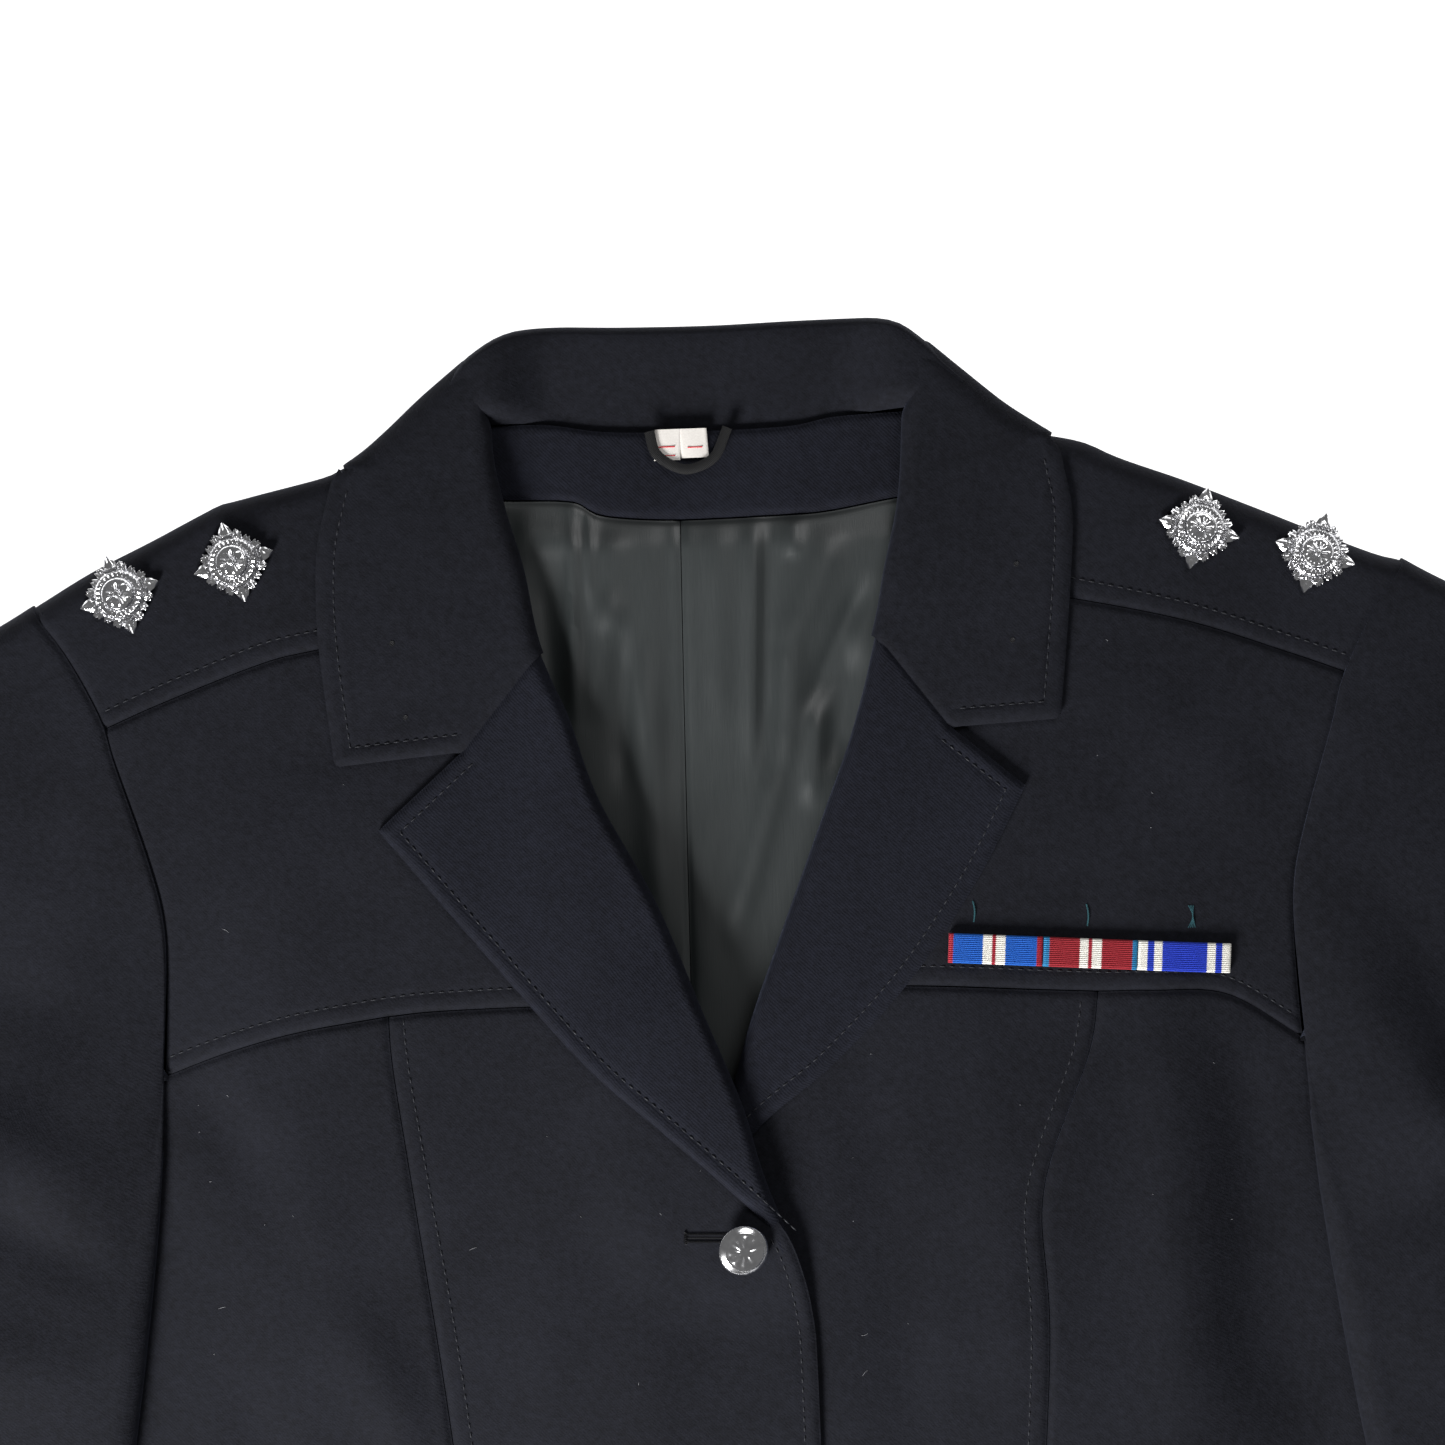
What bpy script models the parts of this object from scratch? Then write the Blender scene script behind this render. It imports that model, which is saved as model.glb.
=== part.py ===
"""Police uniform tunic, laid flat on its back, as a maker's cut pieces.

The garment lies in the XY plane: +Y runs up to the collar, +Z up from the floor, and the wearer's left
side is at +X. All plan sizes are millimetres from the middle of the chest opening, and each piece
is a cloth wall with its outer face up. Pieces stand 0.3 mm apart at their seams.
"""

from collections import namedtuple
import math

import bmesh
import bpy
from mathutils import Matrix, Vector
from mathutils.geometry import delaunay_2d_cdt
import numpy as np

MM = 0.001

# Wall thicknesses
WOOL = 1.8
DOUBLE_WOOL = 2.6
LINING = 1.0
LABEL = 1.0
TAPE = 1.2

# Clearances
SEAM_GAP = 0.3
LAID_GAP = 0.5
INSIDE_GAP = 0.9
SLEEVE_GAP = 1.3
BACK_TUCK = 1.3

# Plan depth of the rounded edges
SIDE_RIM = 9.0
ROLL_RIM = 4.0
COLLAR_WRAP = 8.0
RIM_STEPS = 3
LEAST_DROP = 0.8

# Steps of the grids
CENTRE_COLUMNS = 7
SIDE_COLUMNS_ABOVE = 5
SIDE_COLUMNS_BELOW = 5
YOKE_ROWS = 4
CHEST_ROWS = 9
FRONT_ROWS = 17
NECK_COLUMNS = 11
SHOULDER_COLUMNS = 7
LAPEL_ROWS = 12
STAND_ROWS = 5
FACING_ROWS = 4
FACING_COLUMNS = 17
LINING_ROWS = 12
LINING_COLUMNS = 10
LEAF_ROWS = 9
LEAF_COLUMNS = 7
LEAF_WRAP_STEPS = 5
FOLDED_UNDER_STEPS = 10
SLEEVE_ROWS = 17
SLEEVE_COLUMNS = 11

# Where the whole garment ends
HEM_Y = -581.0
COLLAR_TOP_Y = 133.0
HALF_HEM = 310.0
CUFF_Y = -545.0
PANEL_ROLL_INSET = ROLL_RIM + DOUBLE_WOOL + LAID_GAP

Place = namedtuple("Place", "out y")
Level = namedtuple("Level", "y middle side")
Fold = namedtuple("Fold", "x0 y0 x1 y1 width height")
Box = namedtuple("Box", "x0 x1 y0 y1")
Tone = namedtuple("Tone", "red green blue rough metal")

WOOL_TONE = Tone(0.012, 0.013, 0.020, 0.92, 0.0)
LINING_TONE = Tone(0.045, 0.058, 0.058, 0.40, 0.0)
CHROME_TONE = Tone(0.80, 0.80, 0.82, 0.12, 1.0)
LABEL_TONE = Tone(0.75, 0.73, 0.70, 0.80, 0.0)
BLACK_TONE = Tone(0.010, 0.010, 0.012, 0.80, 0.0)
BLUE_RIBBON_TONE = Tone(0.004, 0.10, 0.45, 0.70, 0.0)
RED_RIBBON_TONE = Tone(0.28, 0.010, 0.018, 0.70, 0.0)

# Outer face of the fronts above the floor, at the centre and at the shoulder or under the sleeve
FRONT_LEVELS = [
    Level(-581, 10.0, 7.0),
    Level(-450, 12.0, 7.5),
    Level(-320, 13.0, 7.5),
    Level(-240, 15.0, 8.0),
    Level(-160, 16.5, 8.5),
    Level(-100, 16.5, 10.5),
    Level(-60, 16.0, 13.0),
    Level(0, 15.5, 15.0),
    Level(60, 15.0, 14.0),
    Level(133, 13.0, 10.0),
]
SIDE_STARTS = 140.0
SIDE_REACHED = 205.0

# Largest soft folds of the fronts: both ends, half width and height
FRONT_FOLDS = [
    Fold(-160, -150, -112, -245, 12, 2.2),
    Fold(178, -125, 186, -250, 10, -2.0),
    Fold(112, -120, 100, -230, 14, 1.6),
    Fold(-150, -260, -120, -430, 18, 2.0),
    Fold(150, -280, 130, -450, 18, 2.0),
    Fold(-60, -300, -90, -520, 20, 1.4),
    Fold(80, -330, 95, -540, 20, 1.4),
]
LINING_FOLDS = [
    Fold(-47, 66, -49, 10, 5, 3.0),
    Fold(-62, 60, -66, -20, 7, 2.4),
    Fold(-28, 68, -30, -60, 9, 2.0),
    Fold(4, 66, -2, -70, 7, 2.2),
    Fold(20, 68, 14, -20, 6, 2.4),
    Fold(44, 66, 34, 0, 8, 3.0),
    Fold(60, 40, 50, -40, 8, 2.0),
]
SLEEVE_FOLDS = [
    Fold(215, -150, 330, -95, 14, 2.6),
    Fold(225, -215, 350, -175, 16, 2.2),
    Fold(350, -290, 250, -330, 18, 3.0),
    Fold(380, -390, 270, -400, 16, 2.4),
]

# The right front laps over the left one, and both lapels lie between at the crossing
LAP_LIFT = 2.9
CROSSING_LIFT = 3.6
CROSSING_X = 0.0
CROSSING_Y = -136.0
CROSSING_NEAR = 38.0
CROSSING_FAR = 75.0
LAP_FULL_X = -30.0
LAP_GONE_X = -85.0

# The back panel rises over the collar fall, which is folded under the neck
FALL_UNDER_NECK = DOUBLE_WOOL + 2 * LAID_GAP
NECK_RISE_FROM_Y = -20.0
NECK_RISE_TO_Y = 78.0
NECK_RISE_HALF = 128.0
FALL_LOWER_Y = 84.0

# Edges of the body, outward from the centre line
SIDE_SEAM = [
    Place(285, -170), Place(272, -230), Place(258, -320), Place(276, -430), Place(HALF_HEM, HEM_Y),
]
BACK_ARMHOLE = [Place(285, -170), Place(256, -148), Place(232, -100), Place(226, -40), Place(229, 46)]
LOWER_ARMHOLE = [Place(194, -114), Place(212, -138), Place(244, -160), Place(285, -170)]
FRONT_ARMHOLE = [
    Place(194, -114), Place(192, -80), Place(192.5, -60), Place(197, -40),
    Place(207, -7), Place(211, 8), Place(222, 31), Place(229, 46),
]
INNER_FOLD = [Place(194, -114), Place(197, -158), Place(208, -237), Place(226, -340), Place(256, CUFF_Y)]
OUTER_FOLD = [
    Place(231.5, 45.5), Place(244, 41), Place(285, 20), Place(322, -14), Place(352, -62), Place(376, -120),
    Place(392, -180), Place(402, -250), Place(408, -330), Place(412, CUFF_Y),
]

# The sleeves lie a little inflated
SLEEVE_HOLLOW = 7.0
SLEEVE_CROWN = 4.0
LEAST_HOLLOW = 5.0
SLEEVE_RISE_SHARE = 0.22
SEAM_PROUD = 4.2
UNDERARM_RIM = 1.5
UNDERARM = [Place(200, -124), Place(220, -146), Place(250, -166), Place(288, -176)]
UNDER_SLEEVE_SPACING = 24.0
BESIDE_SIDE_SEAM = (-10.0, 1.0, 10.0, 19.0)
FLOOR_FROM = 1.0
FLOOR_REACHED = 19.0

# Roll line's break, and the height up to which the front edge is set back behind the roll
BREAK_Y = -176.0
EDGE_SET_BACK_Y = -144.0
LAPEL_TUCK_LENGTH = 24.0
BREAK_LIFT = 0.6

# Seams and edges of each half, outward from the centre line
HALVES = {
    "right": {
        "sign": -1,
        "roll": [
            Place(75, 123), Place(76.6, 95), Place(73, 74), Place(67, 52), Place(62, 26), Place(52.7, 5.6),
            Place(43, -24), Place(25, -59), Place(9.5, -98.5), Place(-2.2, -129), Place(-8.4, -152),
            Place(-17.6, -177.5),
        ],
        "gorge": [Place(62.5, 24.4), Place(88, -6.4)],
        "leaf_edge": [
            Place(124, 90), Place(127, 86.5), Place(131, 78), Place(134.6, 61), Place(135, 33),
            Place(131, -10),
        ],
        "peak": Place(117.5, -32.6),
        "lapel_edge": [
            Place(117.5, -32.6), Place(85, -73), Place(53, -111), Place(27, -135), Place(1, -159),
            Place(-15.4, -175.6),
        ],
        "shoulder": [
            Place(89, 98), Place(124, 89.6), Place(140, 85.2), Place(172, 76), Place(207, 60),
            Place(229, 46),
        ],
        "yoke_seam": [
            Place(66, 38), Place(100, 35), Place(139, 29), Place(157, 25), Place(191, 13), Place(211, 5),
        ],
        "chest_seam": [
            Place(11, -95), Place(50, -94), Place(97, -94.4), Place(116.6, -95.7), Place(147, -100),
            Place(171, -106), Place(194, -114),
        ],
        "princess": [
            Place(116.6, -95.7), Place(115.6, -114), Place(110, -158), Place(100, -240), Place(92, -330),
            Place(104, -450), Place(122, HEM_Y),
        ],
        "front_edge": [
            Place(-20.8, -187), Place(-23.5, -201), Place(-24.6, -222), Place(-25, -330), Place(-25, -450),
            Place(-22, HEM_Y),
        ],
        "collar_corner": Place(68.5, 133),
    },
    "left": {
        "sign": 1,
        "roll": [
            Place(67.5, 123), Place(66, 99), Place(63.5, 72), Place(57.6, 47), Place(53.6, 29), Place(44, -4),
            Place(33.6, -31), Place(17, -73), Place(5.5, -103), Place(-4, -135), Place(-17, -175),
        ],
        "gorge": [Place(56.8, 23.3), Place(76.8, -3.7)],
        "leaf_edge": [
            Place(113, 92), Place(115.6, 88.2), Place(118, 81), Place(120, 66), Place(118, 38),
            Place(113.6, -1.9),
        ],
        "peak": Place(101.6, -24.8),
        "lapel_edge": [
            Place(101.6, -24.8), Place(84, -56.5), Place(60.6, -89), Place(33, -117), Place(5, -140),
            Place(-14, -173),
        ],
        "shoulder": [
            Place(79, 99), Place(104, 93.5), Place(119, 92), Place(126, 90.3), Place(137, 85), Place(167, 73),
            Place(200, 58), Place(229, 46),
        ],
        "yoke_seam": [
            Place(58, 47), Place(90, 43), Place(120, 38), Place(159, 29), Place(193.5, 17), Place(212, 10),
        ],
        "chest_seam": [
            Place(10, -90), Place(61, -91.5), Place(101, -94), Place(124, -95.4), Place(142, -95.7),
            Place(168, -98), Place(194, -114),
        ],
        "princess": [
            Place(124, -95.4), Place(120, -116.5), Place(103, -162), Place(103.5, -213), Place(98, -330),
            Place(108, -450), Place(124, HEM_Y),
        ],
        "front_edge": [Place(-18, -200), Place(-18, -330), Place(-18, -450), Place(-16, HEM_Y)],
        "collar_corner": Place(66.4, 133),
    },
}

# Back neck, from the wearer's right to left, in real x
NECK_SEAM = [
    Place(-76, 102.2), Place(-58.8, 102.3), Place(-37, 99.1), Place(-11.8, 98.2), Place(24.7, 98.7),
    Place(43, 101.7), Place(65, 102.3),
]
FACING_EDGE = [
    Place(-92, 80), Place(-73.2, 77.4), Place(-49, 75.9), Place(-38, 71.1), Place(-12.8, 69.2),
    Place(23.7, 69.7), Place(38.2, 70.2), Place(58.2, 73.2), Place(84, 78),
]
FACING_CORNERS = [Place(-84, 90), Place(75, 90)]
LINING_SEAM = [Place(-12, 69), Place(-13, 0), Place(-14, -100), Place(-14, -170)]
LINING_BOTTOM_Y = -170.0
LINING_BOTTOM_HALF = 62.0
LINING_TOP_HALF = 84.0
NECK_SEAM_Y = 98.0
STAND_TOP = [
    Place(-64, 116.5), Place(-52, 121.5), Place(-32, 127.3), Place(0, 129.5), Place(28, 127.8),
    Place(44, 122.3), Place(54, 117),
]
STAND_ROLL_RISE = 4.4
FOLDED_ROLL_LEVEL = 9.0
LEAF_WRAP_AHEAD = [1.8, 4.2]
LEAF_CORNER_SPACE = 2.0
LEAF_TURN_LENGTH = 8.0

# Fittings
BUTTON_X = 0.9
BUTTON_FIRST_Y = -178.0
BUTTON_SPACING = 95.0
BUTTON_COUNT = 4
BUTTON_TILT = math.radians(10)
SHANK_RADIUS = 2.6
BUTTON_PROFILE = [(7.6, 1.6), (8.5, 2.6), (7.8, 4.2), (5.6, 5.6), (2.8, 6.3)]
BUTTON_STEPS = 16
STAR_REACH = 14.2
STAR_STEPS = 24
STAR_LIFT = 0.9
STAR_PLACES = [
    ("inner", 163.0, 60.5, 15.0),
    ("outer", 202.5, 49.0, 18.0),
]
RIBBON_BAR_X = 121.4
RIBBON_BAR_Y = -82.3
RIBBON_BAR_TILT = math.radians(-4.2)
RIBBON_WIDTH = 32.0
RIBBON_HEIGHT = 9.9
RIBBON_THICK = 2.2
LABEL_BOXES = {
    "size_label": Box(-20.2, -11.2, 88.0, 97.6),
    "fitting_label": Box(-10.8, -1.4, 88.6, 97.6),
}
LOOP_ROUTE = [
    Place(-22.5, 96.8), Place(-20.8, 90.0), Place(-14.0, 84.6), Place(-7.6, 83.6), Place(0.6, 88.2),
    Place(5.2, 96.8),
]
LOOP_WIDTH = 3.2
LOOP_COLUMNS = 15


def smoothstep(start, end, value):
    """0 before start, 1 after end, and an even S between."""
    share = np.clip((value - start) / (end - start), 0.0, 1.0)
    return share * share * (3.0 - 2.0 * share)


def fold_relief(folds, x, y):
    """Height that a table of soft ridges and troughs adds at a place."""
    total = np.zeros(np.broadcast(x, y).shape)
    for fold in folds:
        along_x = fold.x1 - fold.x0
        along_y = fold.y1 - fold.y0
        length = math.hypot(along_x, along_y)
        share = ((x - fold.x0) * along_x + (y - fold.y0) * along_y) / length**2
        aside = ((x - fold.x0) * along_y - (y - fold.y0) * along_x) / length
        ends = smoothstep(-0.15, 0.25, share) * (1.0 - smoothstep(0.75, 1.15, share))
        total = total + fold.height * ends * np.exp(-((aside / fold.width) ** 2))
    return total


def left_front_face(x, y):
    """Outer face of the left front, and of every front piece away from the lap."""
    ys = [level.y for level in FRONT_LEVELS]
    middle = np.interp(y, ys, [level.middle for level in FRONT_LEVELS])
    side = np.interp(y, ys, [level.side for level in FRONT_LEVELS])
    share = smoothstep(SIDE_STARTS, SIDE_REACHED, np.abs(x))
    return middle + (side - middle) * share + fold_relief(FRONT_FOLDS, x, y)


def right_front_face(x, y):
    """Outer face of the right front, raised where it laps over the left one."""
    lap = smoothstep(LAP_GONE_X, LAP_FULL_X, x)
    distance = np.hypot(x - CROSSING_X, y - CROSSING_Y)
    crossing = 1.0 - smoothstep(CROSSING_NEAR, CROSSING_FAR, distance)
    return left_front_face(x, y) + lap * (LAP_LIFT + CROSSING_LIFT * crossing)


def back_face(x, y):
    """Upper face of the back panel, which rises over the collar fall."""
    toward_neck = smoothstep(NECK_RISE_FROM_Y, NECK_RISE_TO_Y, y)
    aside = smoothstep(NECK_RISE_HALF, SIDE_REACHED, np.abs(x))
    return WOOL + FALL_UNDER_NECK * toward_neck * (1.0 - aside)


def lining_face(x, y):
    """Upper face of the lining on the back panel."""
    return back_face(x, y) + INSIDE_GAP + LINING + np.maximum(fold_relief(LINING_FOLDS, x, y), 0.0)


def facing_face(x, y):
    """Upper face of the back neck facing."""
    return back_face(x, y) + INSIDE_GAP + WOOL


def smooth_curve(places, count):
    """A smooth curve through the places, as evenly spaced points."""
    known = np.array([(place[0], place[1]) for place in places], float)
    padded = np.vstack([2 * known[0] - known[1], known, 2 * known[-1] - known[-2]])
    fine = []
    for index in range(1, len(padded) - 2):
        before, start, end, after = padded[index - 1: index + 3]
        for share in np.linspace(0, 1, 12, endpoint=False):
            fine.append(
                0.5 * (
                    2 * start + (end - before) * share
                    + (2 * before - 5 * start + 4 * end - after) * share**2
                    + (3 * start - before - 3 * end + after) * share**3
                )
            )
    fine.append(known[-1])
    return spaced(fine, count)


def spaced(points, count):
    """Points at even steps along a polyline."""
    points = np.array(points, float)
    steps = np.hypot(*np.diff(points, axis=0).T)
    travelled = np.concatenate([[0.0], np.cumsum(steps)])
    wanted = np.linspace(0, travelled[-1], count)
    return np.column_stack([np.interp(wanted, travelled, points[:, axis]) for axis in (0, 1)])


def joined(*curves):
    """Curves that follow each other, with each shared point once."""
    points = [curves[0]]
    for curve in curves[1:]:
        points.append(curve[1:])
    return np.vstack(points)


def side_of(points):
    """Unit vectors to the right of a polyline, at each of its points."""
    along = np.gradient(points, axis=0)
    along = along / np.linalg.norm(along, axis=1)[:, None]
    return np.column_stack([along[:, 1], -along[:, 0]])


def moved(points, distance):
    """A polyline moved to its right by a distance."""
    return points + distance * side_of(points)


def cut_above(points, y):
    """The part of a falling curve from the height y down, starting exactly there."""
    share = np.interp(-y, -points[:, 1], np.arange(len(points)))
    first = int(math.ceil(share + 1e-6))
    start = points[first - 1] + (points[first] - points[first - 1]) * (share - first + 1)
    return np.vstack([start, points[first:]])


def patch(left, right, bottom, top):
    """Plan points between four edges: rows run from bottom to top, columns from left to right."""
    across = np.linspace(0, 1, len(bottom))[None, :, None]
    up = np.linspace(0, 1, len(left))[:, None, None]
    sides = (1 - across) * left[:, None, :] + across * right[:, None, :]
    ends = (1 - up) * bottom[None, :, :] + up * top[None, :, :]
    corners = (
        (1 - across) * (1 - up) * bottom[0] + across * (1 - up) * bottom[-1]
        + (1 - across) * up * top[0] + across * up * top[-1]
    )
    return sides + ends - corners


def on_face(plan, face, sign=1):
    """Points and unit normals of a plan patch laid on a height function."""
    x = plan[..., 0] * sign
    y = plan[..., 1]
    step = 0.5
    slope_x = (face(x + step, y) - face(x - step, y)) / (2 * step)
    slope_y = (face(x, y + step) - face(x, y - step)) / (2 * step)
    normals = np.stack([-slope_x, -slope_y, np.ones_like(slope_x)], axis=-1)
    normals = normals / np.linalg.norm(normals, axis=-1)[..., None]
    return np.stack([x, y, face(x, y)], axis=-1), normals


def rim_rows(points, normals, outward, depth, low):
    """Rows of a rounded edge that go on from the last row, outward and down to the height low."""
    edge = points[-1]
    direction = np.column_stack([outward, np.zeros(len(outward))])
    low = np.minimum(low, edge[:, 2] - LEAST_DROP)
    drop = edge[:, 2] - low
    for angle in np.linspace(0, math.pi / 2, RIM_STEPS + 1)[1:]:
        row = edge + direction * depth * math.sin(angle)
        row[:, 2] = low + drop * math.cos(angle)
        lean = direction * math.sin(angle) / depth
        lean[:, 2] = math.cos(angle) / drop
        lean = lean / np.linalg.norm(lean, axis=1)[:, None]
        points = np.concatenate([points, row[None]])
        normals = np.concatenate([normals, lean[None]])
    return points, normals


def turned(points, normals):
    """The same grid with rows and columns exchanged."""
    return points.transpose(1, 0, 2), normals.transpose(1, 0, 2)


def grid_normals(points):
    """Unit normals of a grid, from the steps between its points."""
    down = np.gradient(points, axis=0)
    across = np.gradient(points, axis=1)
    normals = np.cross(across, down)
    return normals / np.linalg.norm(normals, axis=-1)[..., None]


def material(name, tone):
    """A Principled material, made once."""
    found = bpy.data.materials.get(name)
    if found:
        return found
    made = bpy.data.materials.new(name)
    made.use_nodes = True
    shader = made.node_tree.nodes["Principled BSDF"]
    shader.inputs["Base Color"].default_value = (tone.red, tone.green, tone.blue, 1.0)
    shader.inputs["Roughness"].default_value = tone.rough
    shader.inputs["Metallic"].default_value = tone.metal
    made.diffuse_color = (tone.red, tone.green, tone.blue, 1.0)
    return made


def solid(name, vertices, faces, finish, tone):
    """One named object from points in millimetres, with its faces turned out."""
    body = bmesh.new()
    made = [body.verts.new(Vector(vertex) * MM) for vertex in vertices]
    for face in faces:
        body.faces.new([made[index] for index in face])
    bmesh.ops.recalc_face_normals(body, faces=body.faces)
    mesh = bpy.data.meshes.new(name)
    body.to_mesh(mesh)
    body.free()
    mesh.shade_smooth()
    mesh.set_sharp_from_angle(angle=math.radians(40))
    piece = bpy.data.objects.new(name, mesh)
    piece.data.materials.append(material(finish, tone))
    bpy.context.collection.objects.link(piece)
    piece.parent = bpy.data.objects["tunic"]
    return piece


def wall(name, points, normals, thickness, finish, tone):
    """A cloth wall: the grid is its outer face, and the thickness goes against the normals."""
    rows, columns = points.shape[:2]
    inner = points - normals * thickness
    vertices = np.concatenate([points.reshape(-1, 3), inner.reshape(-1, 3)])
    count = rows * columns
    faces = []
    for row in range(rows - 1):
        for column in range(columns - 1):
            first = row * columns + column
            quad = [first, first + 1, first + columns + 1, first + columns]
            faces.append(quad)
            faces.append([index + count for index in reversed(quad)])
    border = [column for column in range(columns)]
    border += [row * columns + columns - 1 for row in range(1, rows)]
    border += [(rows - 1) * columns + column for column in range(columns - 2, -1, -1)]
    border += [row * columns for row in range(rows - 2, 0, -1)]
    for start, end in zip(border, border[1:] + border[:1]):
        faces.append([end, start, start + count, end + count])
    return solid(name, vertices, faces, finish, tone)


def wool_wall(name, points, normals, thickness=WOOL):
    return wall(name, points, normals, thickness, "navy_wool", WOOL_TONE)


def chest_edge_columns(half):
    """The chest seam from the front edge to the princess seam, and on to the armhole."""
    seam = half["chest_seam"]
    princess_top = half["princess"][0]
    split = [place.out for place in seam].index(princess_top.out)
    inner = smooth_curve(seam[: split + 1], CENTRE_COLUMNS + 1)
    outer = smooth_curve(seam[split:], SIDE_COLUMNS_ABOVE + 1)
    return inner, outer


def roll_points(half):
    """The finely stepped roll line of one half, from the neck down to its break."""
    return smooth_curve(half["roll"], 120)


def neck_edge(half, top_y, bottom_y, count):
    """The hidden neck edge of the front pieces, set back from the roll line, from bottom to top."""
    inset = moved(roll_points(half), -PANEL_ROLL_INSET)
    falling = cut_above(inset, top_y)
    rising = cut_above(falling[::-1] * [1, -1], -bottom_y) * [1, -1]
    return spaced(rising, count)


def yoke_seam_points(half):
    """The yoke seam, from the hidden neck edge to the armhole."""
    seam = half["yoke_seam"]
    start = neck_edge(half, seam[0].y, half["chest_seam"][0].y, 2)[-1]
    return smooth_curve([Place(*start)] + seam[1:], CENTRE_COLUMNS + SIDE_COLUMNS_ABOVE + 1)


def build_yoke(side, half):
    """The shoulder yoke, from the yoke seam over the shoulder to the back."""
    sign = half["sign"]
    face = left_front_face
    seam = yoke_seam_points(half) + [0, SEAM_GAP / 2]
    shoulder = smooth_curve(half["shoulder"], len(seam))
    outward = -side_of(shoulder)
    top = shoulder - outward * SIDE_RIM
    inner = neck_edge(half, top[0, 1], seam[0, 1], YOKE_ROWS + 1)
    seam[0] = inner[0]
    top[0] = inner[-1]
    outer = armhole_between(seam[-1, 1], top[-1, 1], YOKE_ROWS + 1) - [SEAM_GAP / 2, 0]
    seam[-1] = outer[0]
    top[-1] = outer[-1]
    points, normals = on_face(patch(inner, outer, seam, top), face, sign)
    outward = outward * [sign, 1]
    low = back_face(shoulder[:, 0], shoulder[:, 1]) + SEAM_GAP
    points, normals = rim_rows(points, normals, outward, SIDE_RIM, low)
    wool_wall(f"front_yoke_{side}", points, normals)


def armhole_between(bottom_y, top_y, count):
    """The front armhole seam between two heights, from bottom to top."""
    seam = smooth_curve(FRONT_ARMHOLE, 60)
    ys = np.linspace(bottom_y, top_y, count)
    return np.column_stack([np.interp(ys, seam[:, 1], seam[:, 0]), ys])


def build_chest(side, half):
    """The chest panel between the yoke seam and the chest seam."""
    sign = half["sign"]
    face = right_front_face if side == "right" else left_front_face
    inner_seam, outer_seam = chest_edge_columns(half)
    bottom = joined(inner_seam, outer_seam) + [0, SEAM_GAP / 2]
    top = yoke_seam_points(half) - [0, SEAM_GAP / 2]
    left = neck_edge(half, top[0, 1], bottom[0, 1], CHEST_ROWS + 1)
    bottom[0] = left[0]
    top[0] = left[-1]
    right = armhole_between(bottom[-1, 1], top[-1, 1], CHEST_ROWS + 1) - [SEAM_GAP / 2, 0]
    bottom[-1] = right[0]
    top[-1] = right[-1]
    points, normals = on_face(patch(left, right, bottom, top), face, sign)
    wool_wall(f"chest_{side}", points, normals)


def centre_edge(half, top_y):
    """The front edge of the centre panel, from the hem up along the lap and the roll line."""
    roll = roll_points(half)
    set_back = PANEL_ROLL_INSET * smoothstep(BREAK_Y, EDGE_SET_BACK_Y, roll[:, 1])
    falling = cut_above(roll - side_of(roll) * set_back[:, None], top_y)
    straight = np.array([(place.out, place.y) for place in half["front_edge"]], float)
    return smooth_curve(np.vstack([falling[::8], straight]), FRONT_ROWS + 1)[::-1]


def build_centre_front(side, half):
    """The centre front below the chest seam, from the princess seam to the front edge."""
    sign = half["sign"]
    face = right_front_face if side == "right" else left_front_face
    top = chest_edge_columns(half)[0] - [0, SEAM_GAP / 2]
    left = centre_edge(half, top[0, 1])
    top[0] = left[-1]
    right = smooth_curve(half["princess"], FRONT_ROWS + 1)[::-1] - [SEAM_GAP / 2, 0]
    top[-1] = right[-1] - [0, SEAM_GAP / 2]
    right[-1] = top[-1]
    bottom = spaced([left[0], right[0]], len(top))
    points, normals = on_face(patch(left, right, bottom, top), face, sign)
    wool_wall(f"centre_front_{side}", points, normals)


def build_side_front(side, half):
    """The side front, from the princess seam round to the side seam on the floor."""
    sign = half["sign"]
    face = right_front_face if side == "right" else left_front_face
    seam = chest_edge_columns(half)[1] - [0, SEAM_GAP / 2]
    silhouette = smooth_curve(SIDE_SEAM, FRONT_ROWS + 1)[::-1]
    outward = side_of(silhouette)
    outward[0] = [1.0, 0.0]
    right = silhouette - outward * SIDE_RIM
    armhole = smooth_curve(LOWER_ARMHOLE[:-1] + [Place(*right[-1])], SIDE_COLUMNS_BELOW + 1)
    top = joined(seam, armhole)
    top[len(seam) - 1] = seam[-1]
    left = smooth_curve(half["princess"], FRONT_ROWS + 1)[::-1] + [SEAM_GAP / 2, 0]
    left[-1] = left[-1] - [0, SEAM_GAP / 2]
    top[0] = left[-1]
    bottom = spaced([left[0], right[0]], len(top))
    points, normals = on_face(patch(left, right, bottom, top), face, sign)
    points, normals = turned(points, normals)
    low = back_face(silhouette[:, 0], silhouette[:, 1]) + SEAM_GAP
    points, normals = rim_rows(points, normals, outward * [sign, 1], SIDE_RIM, low)
    wool_wall(f"side_front_{side}", points, normals)


def body_outline(sign):
    """Side seam and back armhole of one half, from the hem up to the shoulder tip."""
    side = smooth_curve(SIDE_SEAM, 9)[::-1]
    armhole = smooth_curve(BACK_ARMHOLE, 8)
    return joined(side, armhole) * [sign, 1]


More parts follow.
